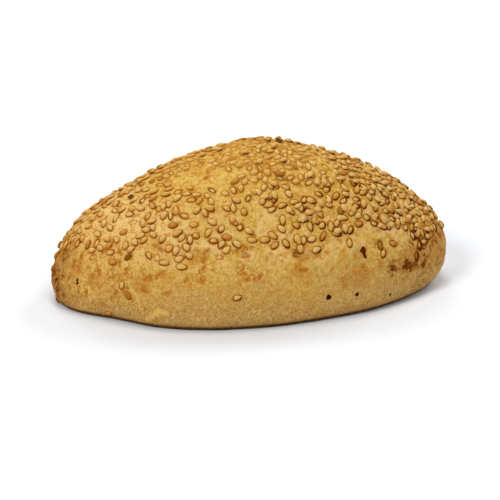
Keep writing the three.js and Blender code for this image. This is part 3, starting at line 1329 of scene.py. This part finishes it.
@dataclass(frozen=True)
class CrustFinish:
    """Baked dough: gold and mottled above, paler and finely grained low down, brown at the base."""

    gold: Colour = srgb(204, 167, 76)
    ochre: Colour = srgb(180, 112, 14)
    pale_dough: Colour = srgb(224, 188, 119)
    flank: Colour = srgb(187, 147, 79)
    right_flank: Colour = srgb(208, 170, 96)
    left_gold: Colour = srgb(218, 170, 84)
    light_grain: Colour = srgb(232, 189, 112)
    grain_brown: Colour = srgb(140, 88, 20)
    toasted: Colour = srgb(164, 90, 4)
    streak: Colour = srgb(166, 98, 18)
    scorched: Colour = srgb(92, 38, 0)
    # Painted contact shade and browning: the dark line round each seed.
    outline: Colour = srgb(146, 76, 2)
    # Painted shadow colours for the crescent at each seed's shade side, paler towards the pointed end.
    pale_shadow_brown: Colour = srgb(128, 64, 2)
    shadow_brown: Colour = srgb(92, 34, 0)
    # Browning and painted contact shade along the base.
    base_rim: Colour = srgb(82, 50, 12)
    base_brown: Colour = srgb(146, 92, 40)
    base_dark: Colour = srgb(96, 54, 22)
    char: Colour = srgb(40, 8, 0)
    burnt: Colour = srgb(92, 30, 0)
    fold_yellow: Colour = srgb(230, 190, 98)
    flank_ochre: Colour = srgb(188, 126, 36)
    end_brown: Colour = srgb(216, 158, 92)
    foot_grey: Colour = srgb(202, 168, 114)

    shading: Shading = Shading(0.9, 0.08, (1.0, 0.45, 0.2), 0.03)

    # Heights, and places along the bun, over which something fades in.
    low_flank: Span = (27.0, 7.0)
    gold_rise: Span = (7.0, 24.0)
    gold_wander: float = 26.0
    pale_end: Span = (-8.0, -34.0)
    pale_band: Zone = Zone(above=(17.0, 24.0), below=(40.0, 32.0))
    grainy_foot: Span = (11.0, 4.0)
    wrinkled_end: Zone = Zone(above=(2.0, 7.0), below=(32.0, 20.0), along=(-26.0, -44.0))
    top_fade: Span = (37.0, 45.0)
    baked_side: Span = (-10.0, 25.0)
    dark_side: Span = (-24.0, 18.0)
    brown_foot: Span = (5.0, 0.5)
    brown_foot_side: Span = (0.0, 40.0)
    rim_rise: Span = (2.3, 0.9)
    sole_rise: Span = (0.05, 0.0)

    # Gaps over which a mark fades in.
    print_fill: Span = (0.2, -0.7)
    print_scorch: Span = (0.1, -0.4)
    ring_outside: Span = (0.3, 0.05)
    ring_inside: Span = (-0.45, -0.1)
    halo_edge: Span = (0.8, 0.05)
    outline_edge: Span = (0.25, 0.03)
    crescent_edge: Span = (0.14, -0.12)
    fold_edge: Span = (0.6, 0.1)
    smear_edge: Span = (1.7, 0.3)
    flap_shadow_outside: Span = (2.1, 1.6)
    flap_shadow_inside: Span = (0.9, 1.4)
    speck_edge: Span = (0.15, -0.15)
    spot_edge: Span = (0.2, -0.1)
    seed_bed: Span = (0.3, 0.0)
    print_bed: Span = (0.3, -0.3)

    grain: Blotches = Blotches(0.55, 0.48, 0.68, 2.0, 0.7)
    wrinkles: Blotches = Blotches(0.8, 0.52, 0.66, 2.0, 0.6, 0.8, (1.0, 1.0, 0.4))
    crests: Blotches = Blotches(0.8, 0.52, 0.66, 2.0, 0.6, 0.8, (-1.0, 1.0, 0.4))
    wrinkle_clusters: Blotches = Blotches(4.0, 0.4, 0.58, 2.0, 0.5)
    singes: Blotches = Blotches(2.8, 0.4, 0.58, 3.0, 0.6)
    blots: Blotches = Blotches(1.7, 0.48, 0.6)
    blots_in_prints: Blotches = Blotches(1.2, 0.42, 0.54, 1.0, 0.5)
    arcs: Blotches = Blotches(1.7, 0.3, 0.55, 1.0, 0.5)
    sole_blotches: Blotches = Blotches(6.0, 0.42, 0.62, 3.0, 0.6)

    layers: tuple[Layer, ...] = (
        Layer(left_gold, 0.5, zones=(Zone((2.0, 10.0), (30.0, 19.0), (-28.0, -50.0)),)),
        Layer(right_flank, 0.5, zones=(Zone(below=(20.0, 6.0), along=(4.0, 34.0)),)),
        Layer(end_brown, 0.45, blotches=Blotches(3.4, 0.46, 0.6, distortion=0.4), least=0.05,
              zones=(Zone(above=(3.0, 12.0), along=(36.0, 58.0)),)),
        Layer(foot_grey, 0.35, zones=(Zone(below=(10.0, 2.0)),)),
        Layer(ochre, 0.6, 0.35, Blotches(3.4, 0.5, 0.7, distortion=0.4, broad_pull=0.35)),
        Layer(flank_ochre, 0.6, blotches=Blotches(2.8, 0.5, 0.64, distortion=0.5),
              zones=(Zone((8.0, 14.0), (30.0, 23.0)),)),
        Layer(ochre, 0.75, 0.3, Blotches(1.5, 0.5, 0.64, distortion=0.5)),
        Layer(light_grain, 0.7, 0.25, Blotches(1.3, 0.5, 0.64, stretch=(1.0, -1.0, 1.0))),
        Layer(light_grain, 0.25, 0.6, Blotches(0.6, 0.5, 0.7, 2.0, 0.6, stretch=(-1.0, 1.0, 1.0))),
        Layer(toasted, 0.5, blotches=Blotches(1.5, 0.5, 0.62, 3.0, 0.7, 0.6),
              zones=(Zone((0.5, 5.0), (30.0, 22.0), (36.0, 48.0)),
                     Zone((0.5, 5.0), (30.0, 22.0), (-40.0, -56.0)))),
        # Painted shade: darker brown over the tip of the pointed end.
        Layer(grain_brown, 0.4, zones=(Zone((0.0, 4.0), (28.0, 18.0), (-58.5, -64.0)),)),
    )
    reliefs: tuple[Relief, ...] = (
        Relief(0.45, 0.07, roughness=0.6),
        Relief(1.3, 0.14, 3.0, 0.55),
        Relief(3.2, 0.2),
    )

    def material(self) -> bpy.types.Material:
        """Builds the crust's material.

        Returns:
            The material.
        """
        material, nodes = new_material("baked_crust")
        surface = Surface.read(nodes, self.low_flank)
        seed_gap = nodes.attribute("seed_gap")
        print_gap = surface.frayed(nodes.attribute("print_gap"), 0.8)
        wrinkles = self._wrinkled(surface, self.wrinkles)
        colour = self._ground(surface, wrinkles)
        colour = self._prints(surface, print_gap, colour)
        colour = self._seed_edges(surface, seed_gap, colour)
        colour = self._marks(surface, colour)
        relief = sum(nodes.clouds(surface.place, layer.size, layer.detail, layer.roughness) * layer.height
                     for layer in self.reliefs)
        relief -= wrinkles * 0.15
        relief -= seed_gap.eased(*self.seed_bed) * 0.12
        relief -= print_gap.eased(*self.print_bed) * 0.1
        self.shading.finish(nodes, colour, nodes.clouds(surface.place, 2.1) * 0.16 + 0.6, relief)
        return material

    def _wrinkled(self, surface: Surface, fibres: Blotches) -> Sock:
        """Reads the fine upright wrinkles of the pointed end.

        Args:
            surface: What the material reads at each place.
            fibres: The single wrinkles.

        Returns:
            The wrinkles' strength, 0 to 1.
        """
        clusters = self.wrinkle_clusters.cover(surface) * 0.85 + 0.15
        return fibres.cover(surface) * clusters * self.wrinkled_end.cover(surface)

    def _ground(self, surface: Surface, wrinkles: Sock) -> Sock:
        """Mixes the crust's broad colours and its grain.

        Args:
            surface: What the material reads at each place.
            wrinkles: The wrinkles of the pointed end.

        Returns:
            The colour before any marks.
        """
        nodes, height = surface.nodes, surface.height
        gold_share = (height + surface.broad * self.gold_wander).eased(*self.gold_rise)
        colour = nodes.tint(gold_share, self.flank, self.gold)
        pallor = nodes.clouds(surface.place, 6.5) + surface.along.eased(*self.pale_end) * 0.12
        pallor = pallor.eased(0.4, 0.6) * self.pale_band.cover(surface)
        colour = nodes.tint(pallor * 0.85, colour, self.pale_dough)
        for layer in self.layers:
            colour = layer.lay(surface, colour)
        grain_share = surface.low * 0.32 + height.eased(*self.grainy_foot) * 0.22 + 0.28
        colour = nodes.tint(self.grain.cover(surface) * grain_share, colour, self.grain_brown)
        colour = nodes.tint(self._wrinkled(surface, self.crests) * 0.6, colour, self.fold_yellow)
        return nodes.tint(wrinkles * 0.75, colour, self.streak)

    def _prints(self, surface: Surface, print_gap: Sock, colour: Sock) -> Sock:
        """Browns the prints of fallen seeds and the toasted and scorched places.

        Args:
            surface: What the material reads at each place.
            print_gap: The gap to the nearest print of a fallen seed, made ragged.
            colour: The colour so far.

        Returns:
            The colour with these marks.
        """
        nodes = surface.nodes
        kind = nodes.clouds(surface.place, 4.5, 1.0)
        filled = print_gap.eased(*self.print_fill) * kind.eased(0.38, 0.5) * 0.75
        ring = print_gap.eased(*self.ring_outside) * print_gap.eased(*self.ring_inside)
        ringed = ring * kind.eased(0.5, 0.4) * 0.8
        colour = nodes.tint(filled.larger(ringed), colour, self.toasted)
        colour = nodes.tint(nodes.attribute("toast") * (surface.ragged * 0.6 + 0.5), colour, self.toasted)
        scorch = nodes.attribute("scorch")
        colour = nodes.tint(scorch * self.singes.cover(surface) * 0.45, colour, self.toasted)
        inside = print_gap.eased(*self.print_scorch) * self.blots_in_prints.cover(surface)
        scorched = self.blots.cover(surface).larger(ring).larger(inside)
        return nodes.tint(scorch * scorched * 0.9, colour, self.scorched)

    def _seed_edges(self, surface: Surface, seed_gap: Sock, colour: Sock) -> Sock:
        """Darkens the crust round the seeds with painted contact shade and browning, and paints a shadow at
        each seed's shade side, all weaker on the top.

        Args:
            surface: What the material reads at each place.
            seed_gap: The gap to the nearest seed.
            colour: The colour so far.

        Returns:
            The colour with the seeds' edges.
        """
        nodes = surface.nodes
        # The painted shade round the seeds fades out on the top and grows towards the round end.
        on_top = surface.height.eased(*self.top_fade)
        baked = surface.along.eased(*self.baked_side) * (1.0 - on_top)
        # Ochre round each seed: painted shade and browning.
        halo = surface.frayed(seed_gap, 0.3).eased(*self.halo_edge)
        colour = nodes.tint(halo * (baked * 0.25 + 0.45), colour, self.ochre)
        arcs = self.arcs.cover(surface)
        # A dark line round each seed: painted contact shade and browning.
        outline = surface.frayed(seed_gap, 0.1).eased(*self.outline_edge) * (1.0 - on_top * 0.6)
        colour = nodes.tint(outline * (arcs * 0.4 + 0.2 + baked * 0.25), colour, self.outline)
        # Painted shadow: a dark crescent on the crust at each seed's shade side, paler towards the pointed
        # end and weaker on the top.
        shadow_brown = nodes.tint(surface.along.eased(*self.dark_side), self.pale_shadow_brown, self.shadow_brown)
        lee_gap = nodes.attribute("lee_gap") - nodes.attribute("scorch") * 0.3
        crescent = surface.frayed(lee_gap, 0.1).eased(*self.crescent_edge)
        return nodes.tint(crescent * (arcs * 0.3 + 0.7) * (1.0 - on_top * 0.65), colour, shadow_brown)

    def _marks(self, surface: Surface, colour: Sock) -> Sock:
        """Adds the fold, the flap with its painted highlight and painted shadow, the darker foot, the rim
        line, the sole and the burnt specks.

        Args:
            surface: What the material reads at each place.
            colour: The colour so far.

        Returns:
            The finished colour.
        """
        nodes, height = surface.nodes, surface.height
        fold = surface.frayed(nodes.attribute("fold_gap"), 0.5).eased(*self.fold_edge)
        colour = nodes.tint(fold * 0.45, colour, self.fold_yellow)
        smear = surface.frayed(nodes.attribute("smear_gap"))
        # A dark ring round the flap: painted shadow.
        flap_shadow = smear.eased(*self.flap_shadow_outside) * smear.eased(*self.flap_shadow_inside)
        colour = nodes.tint(flap_shadow * 0.25, colour, self.streak)
        # Pale yellow over the flap: its paler dough and a painted highlight on its ridge.
        colour = nodes.tint(smear.eased(*self.smear_edge) * 0.5, colour, self.fold_yellow)
        # Darker towards the foot, more towards the round end.
        foot = surface.frayed(height, 1.5).eased(*self.brown_foot)
        foot_share = surface.along.eased(*self.brown_foot_side) * 0.2 + 0.25
        colour = nodes.tint(foot * foot_share, colour, self.grain_brown)
        # A dark line along the base: browning and painted contact shade.
        colour = nodes.tint(surface.frayed(height, 0.6).eased(*self.rim_rise), colour, self.base_rim)
        sole = nodes.tint(self.sole_blotches.cover(surface), self.base_brown, self.base_dark)
        colour = nodes.tint(height.eased(*self.sole_rise), colour, sole)
        speck = surface.frayed(nodes.attribute("speck_gap"), 0.7).eased(*self.speck_edge)
        colour = nodes.tint(speck, colour, self.char)
        spot = surface.frayed(nodes.attribute("spot_gap"), 0.8).eased(*self.spot_edge)
        return nodes.tint(spot, colour, self.burnt)


@dataclass(frozen=True)
class SeedFinish:
    """Toasted sesame: buff to orange brown, with painted shade on each seed's shade side, a painted
    highlight on its crown, and a darker rim and foot from browning and painted contact shade.
    """

    # Browning and painted contact shade where a seed meets the crust.
    contact_shade: Colour = srgb(76, 27, 0)
    rim_brown: Colour = srgb(186, 110, 8)
    streak: Colour = srgb(188, 128, 34)
    warm: Colour = srgb(204, 146, 62)
    # Painted shade and painted highlight on each seed's body.
    shade: Colour = srgb(180, 112, 34)
    light: Colour = srgb(230, 197, 124)
    roast: tuple[tuple[float, Colour], ...] = (
        (0.0, srgb(215, 181, 107)),
        (0.4, srgb(210, 168, 92)),
        (0.8, srgb(203, 156, 74)),
        (0.88, srgb(188, 124, 46)),
        (0.93, srgb(150, 92, 26)),
        (0.97, srgb(100, 50, 10)),
        (1.0, srgb(34, 12, 4)),
    )

    shading: Shading = Shading(0.6, 0.15, (1.0, 0.5, 0.25), 0.06)

    # Tones of the roast, and places along the bun, over which a tint fades in.
    plain_tones: Span = (0.99, 0.88)
    warm_end: Span = (-8.0, -40.0)
    dark_side: Span = (-24.0, 18.0)

    def material(self) -> bpy.types.Material:
        """Builds the seeds' material.

        Returns:
            The material.
        """
        material, nodes = new_material("toasted_sesame")
        place = nodes.place()
        along = nodes.axis(place, "X")
        tone, crest, lee = (nodes.attribute(name) for name in ("tone", "crest", "lee"))
        fibres = nodes.clouds(place, 0.6, 2.0, 0.6)
        uneven = (fibres - 0.5) * 0.5
        colour = nodes.node("ShaderNodeValToRGB", {"stops": self.roast}, {"Fac": tone})
        colour = nodes.tint((fibres - 0.35) * 0.5, colour, self.streak)
        plain = tone.eased(*self.plain_tones)
        colour = nodes.tint(along.eased(*self.warm_end) * plain * 0.1, colour, self.warm)
        # Painted shade over each seed's shade side, and a painted highlight on the crown of its other side.
        colour = nodes.tint(lee.eased(-0.2, 1.1) * plain * 0.5, colour, self.shade)
        lit = lee.eased(0.4, -0.9) * crest.eased(0.3, 0.9) * plain
        colour = nodes.tint(lit * 0.33, colour, self.light)
        edge = crest + uneven
        under = (lee + uneven).eased(-0.3, 0.9)
        # A darker rim, most on the shade side: browning and painted shade.
        colour = nodes.tint(edge.eased(0.85, 0.15) * (under * 0.55 + 0.2), colour, self.rim_brown)
        # Darkest where the seed meets the crust, more on its shade side and towards the round end: browning
        # and painted contact shade.
        contact_shade = edge.eased(0.45, 0.0) * (under * 0.75 + 0.22)
        contact_shade *= along.eased(*self.dark_side) * 0.45 + 0.55
        colour = nodes.tint(contact_shade, colour, self.contact_shade)
        self.shading.finish(nodes, colour, fibres * 0.12 + 0.5, fibres * 0.07)
        return material


# ---- the bun ------------------------------------------------------------------------------------


SPECKS = (
    Patch(17.5, -36.0, 8.7, 0.95),
    Patch(27.1, -33.6, 8.1, 0.75),
    Patch(39.7, -28.3, 4.8, 0.5),
    Patch(-6.3, -38.0, 7.4, 0.35),
    Patch(-58.9, -13.9, 11.8, 0.6),
    Patch(-58.8, -14.2, 11.1, 0.55),
    Patch(-64.6, -4.5, 9.0, 0.7),
    Patch(-37.6, -30.0, 2.0, 0.35),
    Patch(-24.0, 32.0, 14.0, 0.8),
    Patch(12.0, 36.0, 9.0, 0.6),
)

BURNT_SPOT = (
    Patch(29.8, -30.2, 21.4, 1.1),
    Patch(30.3, -30.8, 20.2, 0.7),
    Patch(30.5, -31.0, 19.3, 0.6),
)

TOAST_PATCHES = (
    Patch(56.0, -16.0, 18.0, 7.0, 0.45),
    Patch(60.0, -4.0, 22.0, 7.0, 0.45),
    Patch(48.0, -24.0, 15.0, 4.5, 0.6),
    Patch(9.0, -34.2, 23.4, 2.8, 0.8),
    Patch(7.7, -36.2, 18.1, 2.2, 0.8),
    Patch(-41.1, -29.0, 14.3, 2.6, 0.8),
    Patch(-58.8, -11.5, 15.6, 3.0, 0.7),
    Patch(-58.9, -5.9, 19.8, 2.6, 0.6),
    Patch(-54.0, -18.8, 13.5, 2.6, 0.7),
    Patch(27.8, -31.5, 20.5, 2.0, 0.8),
    Patch(27.8, -33.3, 13.8, 3.6, 0.7),
    Patch(23.4, -34.7, 13.2, 2.4, 0.6),
    Patch(-9.9, -33.0, 25.8, 2.4, 0.8),
    Patch(-23.0, -32.0, 23.8, 2.6, 0.6),
    Patch(-60.0, 6.0, 14.0, 5.0, 0.5),
    Patch(0.0, 34.0, 20.0, 6.0, 0.4),
)

SCORCH_PATCHES = (
    Patch(46.2, -24.8, 13.0, 2.8),
    Patch(40.7, -27.9, 13.7, 2.8),
    Patch(7.2, -34.0, 23.6, 1.6, 0.8),
    Patch(48.4, -22.0, 18.3, 1.8, 0.8),
    Patch(51.5, -21.0, 14.0, 3.8),
    Patch(50.0, -20.5, 19.5, 3.4, 0.9),
    Patch(54.5, -17.5, 18.5, 4.0, 0.7),
    Patch(59.0, -12.0, 18.5, 4.5, 0.45),
    Patch(61.0, -5.0, 20.5, 5.0, 0.35),
    Patch(35.6, -27.6, 22.0, 1.6),
    Patch(-64.0, -4.0, 9.0, 5.0, 0.9),
    Patch(-62.5, -7.0, 4.5, 4.0, 0.8),
    Patch(-61.0, -2.0, 18.0, 4.5, 0.6),
    Patch(62.0, 8.0, 16.0, 5.0, 0.5),
    Patch(54.0, -20.0, 7.0, 4.5, 0.45),
    Patch(60.0, -13.0, 10.0, 4.0, 0.35),
    Patch(10.0, 37.0, 14.0, 3.0, 0.6),
)

FOLD_LINE = (
    Vector((-47.3, -22.8, 18.9)), Vector((-45.2, -25.3, 16.2)), Vector((-43.7, -27.7, 13.1)),
    Vector((-41.9, -29.2, 11.1)), Vector((-41.2, -29.3, 8.0)), Vector((-40.3, -29.3, 4.4)),
)
SMEAR_LINE = (
    Vector((-38.8, -30.0, 3.2)), Vector((-37.2, -31.3, 5.2)), Vector((-35.4, -32.6, 7.0)),
    Vector((-33.6, -33.4, 6.2)),
)


def distance_to_line(points: Array, line: tuple[Vector, ...]) -> Array:
    """Measures the distance from points to a line of straight stretches."""
    nearest = np.full(len(points), 1e3)
    for start, end in zip(line, line[1:]):
        a, b = np.array(start), np.array(end)
        along = np.clip((points - a) @ (b - a) / ((b - a) @ (b - a)), 0.0, 1.0)
        nearest = np.minimum(nearest, np.linalg.norm(points - a - along[:, None] * (b - a), axis=1))
    return nearest


# The attributes that tell the geometry nodes how much room there is for seeds.
ROOMS = ("bed_room", "heap_room", "print_room")


@dataclass
class Crust:
    """The baked dough, with its relief, its marks and the beds of its seeds, in millimetres."""

    form: DoughForm
    grid: DomeGrid = DomeGrid()
    lump_depth: float = 0.28
    lump_size: float = 7.0
    small_lump_depth: float = 0.2
    small_lump_size: float = 3.1
    lump_free: Span = (0.0, 2.5)
    wrinkle_depth: float = 0.16
    wrinkle_size: float = 1.5
    bed_swell: float = 0.2
    swell_outside: Span = (1.1, 0.0)
    swell_inside: Span = (-0.5, 0.0)
    print_depth: float = 0.16
    print_edge: Span = (0.25, -0.35)
    off_seeds: Span = (0.2, 0.8)
    fold_height: float = 0.22
    smear_height: float = 0.5
    line_width: float = 0.7
    press_free: Span = (0.0, 1.2)
    # How far each seed's painted shadow is moved towards its shade side, in millimetres.
    painted_shadow_shift: float = 0.32

    def build(self) -> bpy.types.Mesh:
        """Makes the dough with its lumps and the room for seeds, but without the seeds' beds.

        Returns:
            The mesh.
        """
        mesh = self.grid.build(self.form)
        points, normals = vertex_points(mesh), vertex_normals(mesh)
        lumps = self.lump_depth * noise_field(points, self.lump_size, 3)
        lumps += self.small_lump_depth * noise_field(points, self.small_lump_size, 4)
        points += normals * (lumps * smooth(*self.lump_free, points[:, 2]))[:, None]
        set_points(mesh, points)
        fields = SeedFields()
        for name, room in zip(ROOMS, (fields.bed_room, fields.heap_room, fields.print_room)):
            write_attribute(mesh, name, room(points))
        return mesh

    def press(self, mesh: bpy.types.Mesh, seeds: SeedBatch, prints: SeedBatch) -> None:
        """Presses the seeds' beds and the prints of fallen seeds into the dough and marks it.

        Args:
            mesh: The dough.
            seeds: Where the seeds lie.
            prints: Where seeds fell off.
        """
        points, normals = vertex_points(mesh), vertex_normals(mesh)
        seed_gap, print_gap = seeds.gaps(points), prints.gaps(points)
        fold = distance_to_line(points, FOLD_LINE)
        smear = distance_to_line(points, SMEAR_LINE)
        swell = smooth(*self.swell_outside, seed_gap) * smooth(*self.swell_inside, seed_gap)
        dent = smooth(*self.print_edge, print_gap) * smooth(*self.off_seeds, seed_gap)
        push = self.bed_swell * swell - self.print_depth * dent
        push += self.wrinkle_depth * noise_field(points, self.wrinkle_size, 5, 2)
        for rise, distance in ((self.fold_height, fold), (self.smear_height, smear)):
            push += rise * np.exp(-((distance / self.line_width) ** 2))
        points += normals * (push * smooth(*self.press_free, points[:, 2]))[:, None]
        set_points(mesh, points)
        # The gap to each seed's outline, moved towards its shade side, marks its painted shadow.
        values = {"seed_gap": seed_gap, "lee_gap": seeds.gaps(points, self.painted_shadow_shift),
                  "print_gap": print_gap}
        for name, distance in (("fold_gap", fold), ("smear_gap", smear)):
            values[name] = np.minimum(distance, WIDEST_GAP)
        for name, spots in (("speck_gap", SPECKS), ("spot_gap", BURNT_SPOT)):
            gaps = [np.linalg.norm(points - (s.x, s.y, s.z), axis=1) - s.reach for s in spots]
            values[name] = np.minimum(np.min(gaps, axis=0), WIDEST_GAP)
        for name, patches in (("toast", TOAST_PATCHES), ("scorch", SCORCH_PATCHES)):
            values[name] = np.max([patch.cover(points) for patch in patches], axis=0)
        for name, numbers in values.items():
            write_attribute(mesh, name, numbers)

    def dress(self, mesh: bpy.types.Mesh) -> bpy.types.Object:
        """Makes the finished crust a piece of the object."""
        for name in ROOMS:
            mesh.attributes.remove(mesh.attributes[name])
        mesh.materials.append(CrustFinish().material())
        crust = bpy.data.objects.new("crust", mesh)
        link_to_scene(crust)
        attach(crust, "root")
        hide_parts(NODE)
        return crust


@dataclass
class SesameTopping:
    """All the sesame seeds that stick to the crust."""

    bed: Scatter = Scatter("bed_room", 0.8, 3.0, 7, -0.36, 0.24, 8.0)
    heap: Scatter = Scatter("heap_room", 1.1, 2.2, 8, 0.42, 0.66, 12.0)
    fallen: Scatter = Scatter("print_room", 2.6, 0.3, 9, 0.0, 0.0, 0.0)
    settling: Settling = Settling()
    bed_overlap: float = 0.1
    heap_overlap: float = -0.25
    heap_hold: float = 0.12
    floor_gap: float = 0.05

    def build(self, dough: bpy.types.Mesh) -> tuple[bpy.types.Mesh, SeedBatch, SeedBatch]:
        """Strews the seeds over the dough.

        Args:
            dough: The dough, with the room for seeds in its attributes.

        Returns:
            The mesh of all seeds, those that lie on the crust, and those that fell off.
        """
        finish = SeedFinish().material()
        shapes = bpy.data.collections.new("seed_shapes")
        for shape in SEED_SHAPES:
            shapes.objects.link(shape.build())
        tree = SesameTree(shapes, finish)
        lone = self._placed(dough, LONE_SEEDS)
        strewn = SeedBatch.of_mesh(tree.strew(dough, self.bed)).settled(self.settling)
        bed = SeedBatch.joined([lone, strewn]).thinned(self.bed_overlap)
        heap = SeedBatch.of_mesh(tree.strew(dough, self.heap))
        heap = heap.chosen(bed.gaps(heap.middle) < self.heap_hold).thinned(self.heap_overlap)
        fallen = SeedBatch.joined([
            self._placed(dough, LONE_PRINTS),
            SeedBatch.of_mesh(tree.strew(dough, self.fallen)),
        ])
        log.info("seeds on the crust %d, on others %d, fallen %d", len(bed), len(heap), len(fallen))
        return SeedBatch.joined([bed, heap]).mesh("sesame_seeds", finish), bed, fallen

    def _placed(self, dough: bpy.types.Mesh, places: tuple[LoneSeed, ...]) -> SeedBatch:
        """Makes seeds at chosen places.

        Args:
            dough: The dough that carries them.
            places: Where the seeds lie.

        Returns:
            The seeds.
        """
        surface = BVHTree.FromPolygons([v.co for v in dough.vertices], [p.vertices for p in dough.polygons])
        template = bpy.data.objects[SEED_SHAPES[0].name].data
        seed = vertex_points(template)
        points = []
        for lone in places:
            spot, normal, _, _ = surface.find_nearest(Vector((lone.x, lone.y, lone.z)) * MM)
            spin = Matrix.Rotation(math.radians(lone.spin), 3, "Z")
            turn = np.array(normal.to_track_quat("Z", "Y").to_matrix() @ spin)
            placed = seed @ turn.T + np.array(spot) / MM + np.array(normal) * lone.lift
            placed[:, 2] += max(0.0, self.floor_gap - placed[:, 2].min())
            points.append(placed)
        crest = np.tile(read_attribute(template, "crest"), (len(places), 1))
        return SeedBatch(np.stack(points), crest, np.array([lone.bake.value for lone in places]))

    @staticmethod
    def dress(mesh: bpy.types.Mesh) -> bpy.types.Object:
        """Makes the seeds a piece of the object."""
        seeds = bpy.data.objects.new("sesame_seeds", mesh)
        link_to_scene(seeds)
        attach(seeds, "root")
        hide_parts(NODE)
        return seeds


# ---- the studio ---------------------------------------------------------------------------------


@dataclass(frozen=True)
class SoftSun:
    """A far, wide light. Its azimuth turns from the front of the bun to the right."""

    name: str
    azimuth: float
    elevation: float
    strength: float
    spread: float = 28.0

    def build(self) -> None:
        """Makes the light."""
        light = bpy.data.lights.new(self.name, "SUN")
        light.energy = self.strength
        light.angle = math.radians(self.spread)
        towards = seen_under(self.azimuth, self.elevation)
        lamp = bpy.data.objects.new(self.name, light)
        lamp.location = towards
        lamp.rotation_euler = (-towards).to_track_quat("-Z", "Y").to_euler()
        link_to_scene(lamp)


@dataclass(frozen=True)
class Studio:
    """A pale floor, soft light from all round, and the camera of the photograph."""

    azimuth: float = -11.5
    elevation: float = 20.0
    distance: float = 0.7
    aim_height: float = 0.022
    frame_offset_right: float = -0.0003
    frame_offset_up: float = -0.0086
    view_width: float = 0.1625
    sky_strength: float = 0.05
    floor_half: float = 3.0
    floor_colour: Colour = (0.83, 0.85, 0.88, 1.0)
    lights: tuple[SoftSun, ...] = (
        SoftSun("key_light", -50, 38, 1.6, 20),
        SoftSun("front_fill", 20, 43, 0.73),
        SoftSun("top_light", 0, 88, 0.8),
        SoftSun("back_light", 180, 50, 0.8),
        SoftSun("back_left_light", -130, 40, 0.4),
        SoftSun("back_right_light", 125, 40, 1.0),
    )

    def build(self) -> None:
        """Makes the floor, the lights and the camera."""
        self._floor()
        self._sky()
        for light in self.lights:
            light.build()
        self._camera()
        bpy.context.scene.view_settings.view_transform = "Standard"

    def _floor(self) -> None:
        """Makes the pale floor."""
        half = self.floor_half
        mesh = bpy.data.meshes.new("floor")
        corners = [(-half, -half, 0), (half, -half, 0), (half, half, 0), (-half, half, 0)]
        mesh.from_pydata(corners, [], [(0, 1, 2, 3)])
        material, nodes = new_material("pale_floor")
        shader = nodes.node("ShaderNodeBsdfDiffuse", {}, {"Color": self.floor_colour})
        nodes.node("ShaderNodeOutputMaterial", {}, {"Surface": shader})
        mesh.materials.append(material)
        floor = bpy.data.objects.new("floor", mesh)
        link_to_scene(floor)

    def _sky(self) -> None:
        """Makes the even light from all round."""
        world = bpy.data.worlds.new("tent")
        world.use_nodes = True
        nodes = Nodes(world.node_tree)
        light = nodes.node("ShaderNodeBackground", {},
                           {"Color": (1, 1, 1, 1), "Strength": self.sky_strength})
        nodes.node("ShaderNodeOutputWorld", {}, {"Surface": light})
        bpy.context.scene.world = world

    def _camera(self) -> None:
        """Puts the camera where the photograph was taken from."""
        back = seen_under(self.azimuth, self.elevation)
        facing = (-back).to_track_quat("-Z", "Y")
        lens = bpy.data.cameras.new("camera")
        lens.lens = lens.sensor_width * self.distance / self.view_width
        lens.clip_start, lens.clip_end = 0.01, 20.0
        camera = bpy.data.objects.new("camera", lens)
        shift = facing @ Vector((self.frame_offset_right, self.frame_offset_up, 0.0))
        camera.location = Vector((0.0, 0.0, self.aim_height)) + back * self.distance + shift
        camera.rotation_mode = "QUATERNION"
        camera.rotation_quaternion = facing
        link_to_scene(camera)
        bpy.context.scene.camera = camera


# ---- making the scene ---------------------------------------------------------------------------


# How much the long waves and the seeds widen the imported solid's box, in millimetres.
WAVES_AND_SEEDS = Vector((0.3, 1.11, 1.42))


def dough_form() -> DoughForm:
    """Works the dough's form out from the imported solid's box.

    Returns:
        The form, without the waves and the seeds that widen the solid's box.
    """
    low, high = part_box(NODE)
    size = (high - low) / MM - WAVES_AND_SEEDS
    return DoughForm(length=size.x, width=size.y, height=size.z)


def main() -> None:
    """Builds the bun and its studio, and reports each piece."""
    logging.basicConfig(level=logging.INFO, format="%(message)s")
    Studio().build()
    log.info("studio: floor, lights and camera")
    crust = Crust(dough_form())
    dough = crust.build()
    topping = SesameTopping()
    seeds, on_crust, fallen = topping.build(dough)
    crust.press(dough, on_crust, fallen)
    log.info("crust: %d faces", len(crust.dress(dough).data.polygons))
    log.info("sesame seeds: %d faces", len(topping.dress(seeds).data.polygons))


if __name__ == "__main__":
    main()
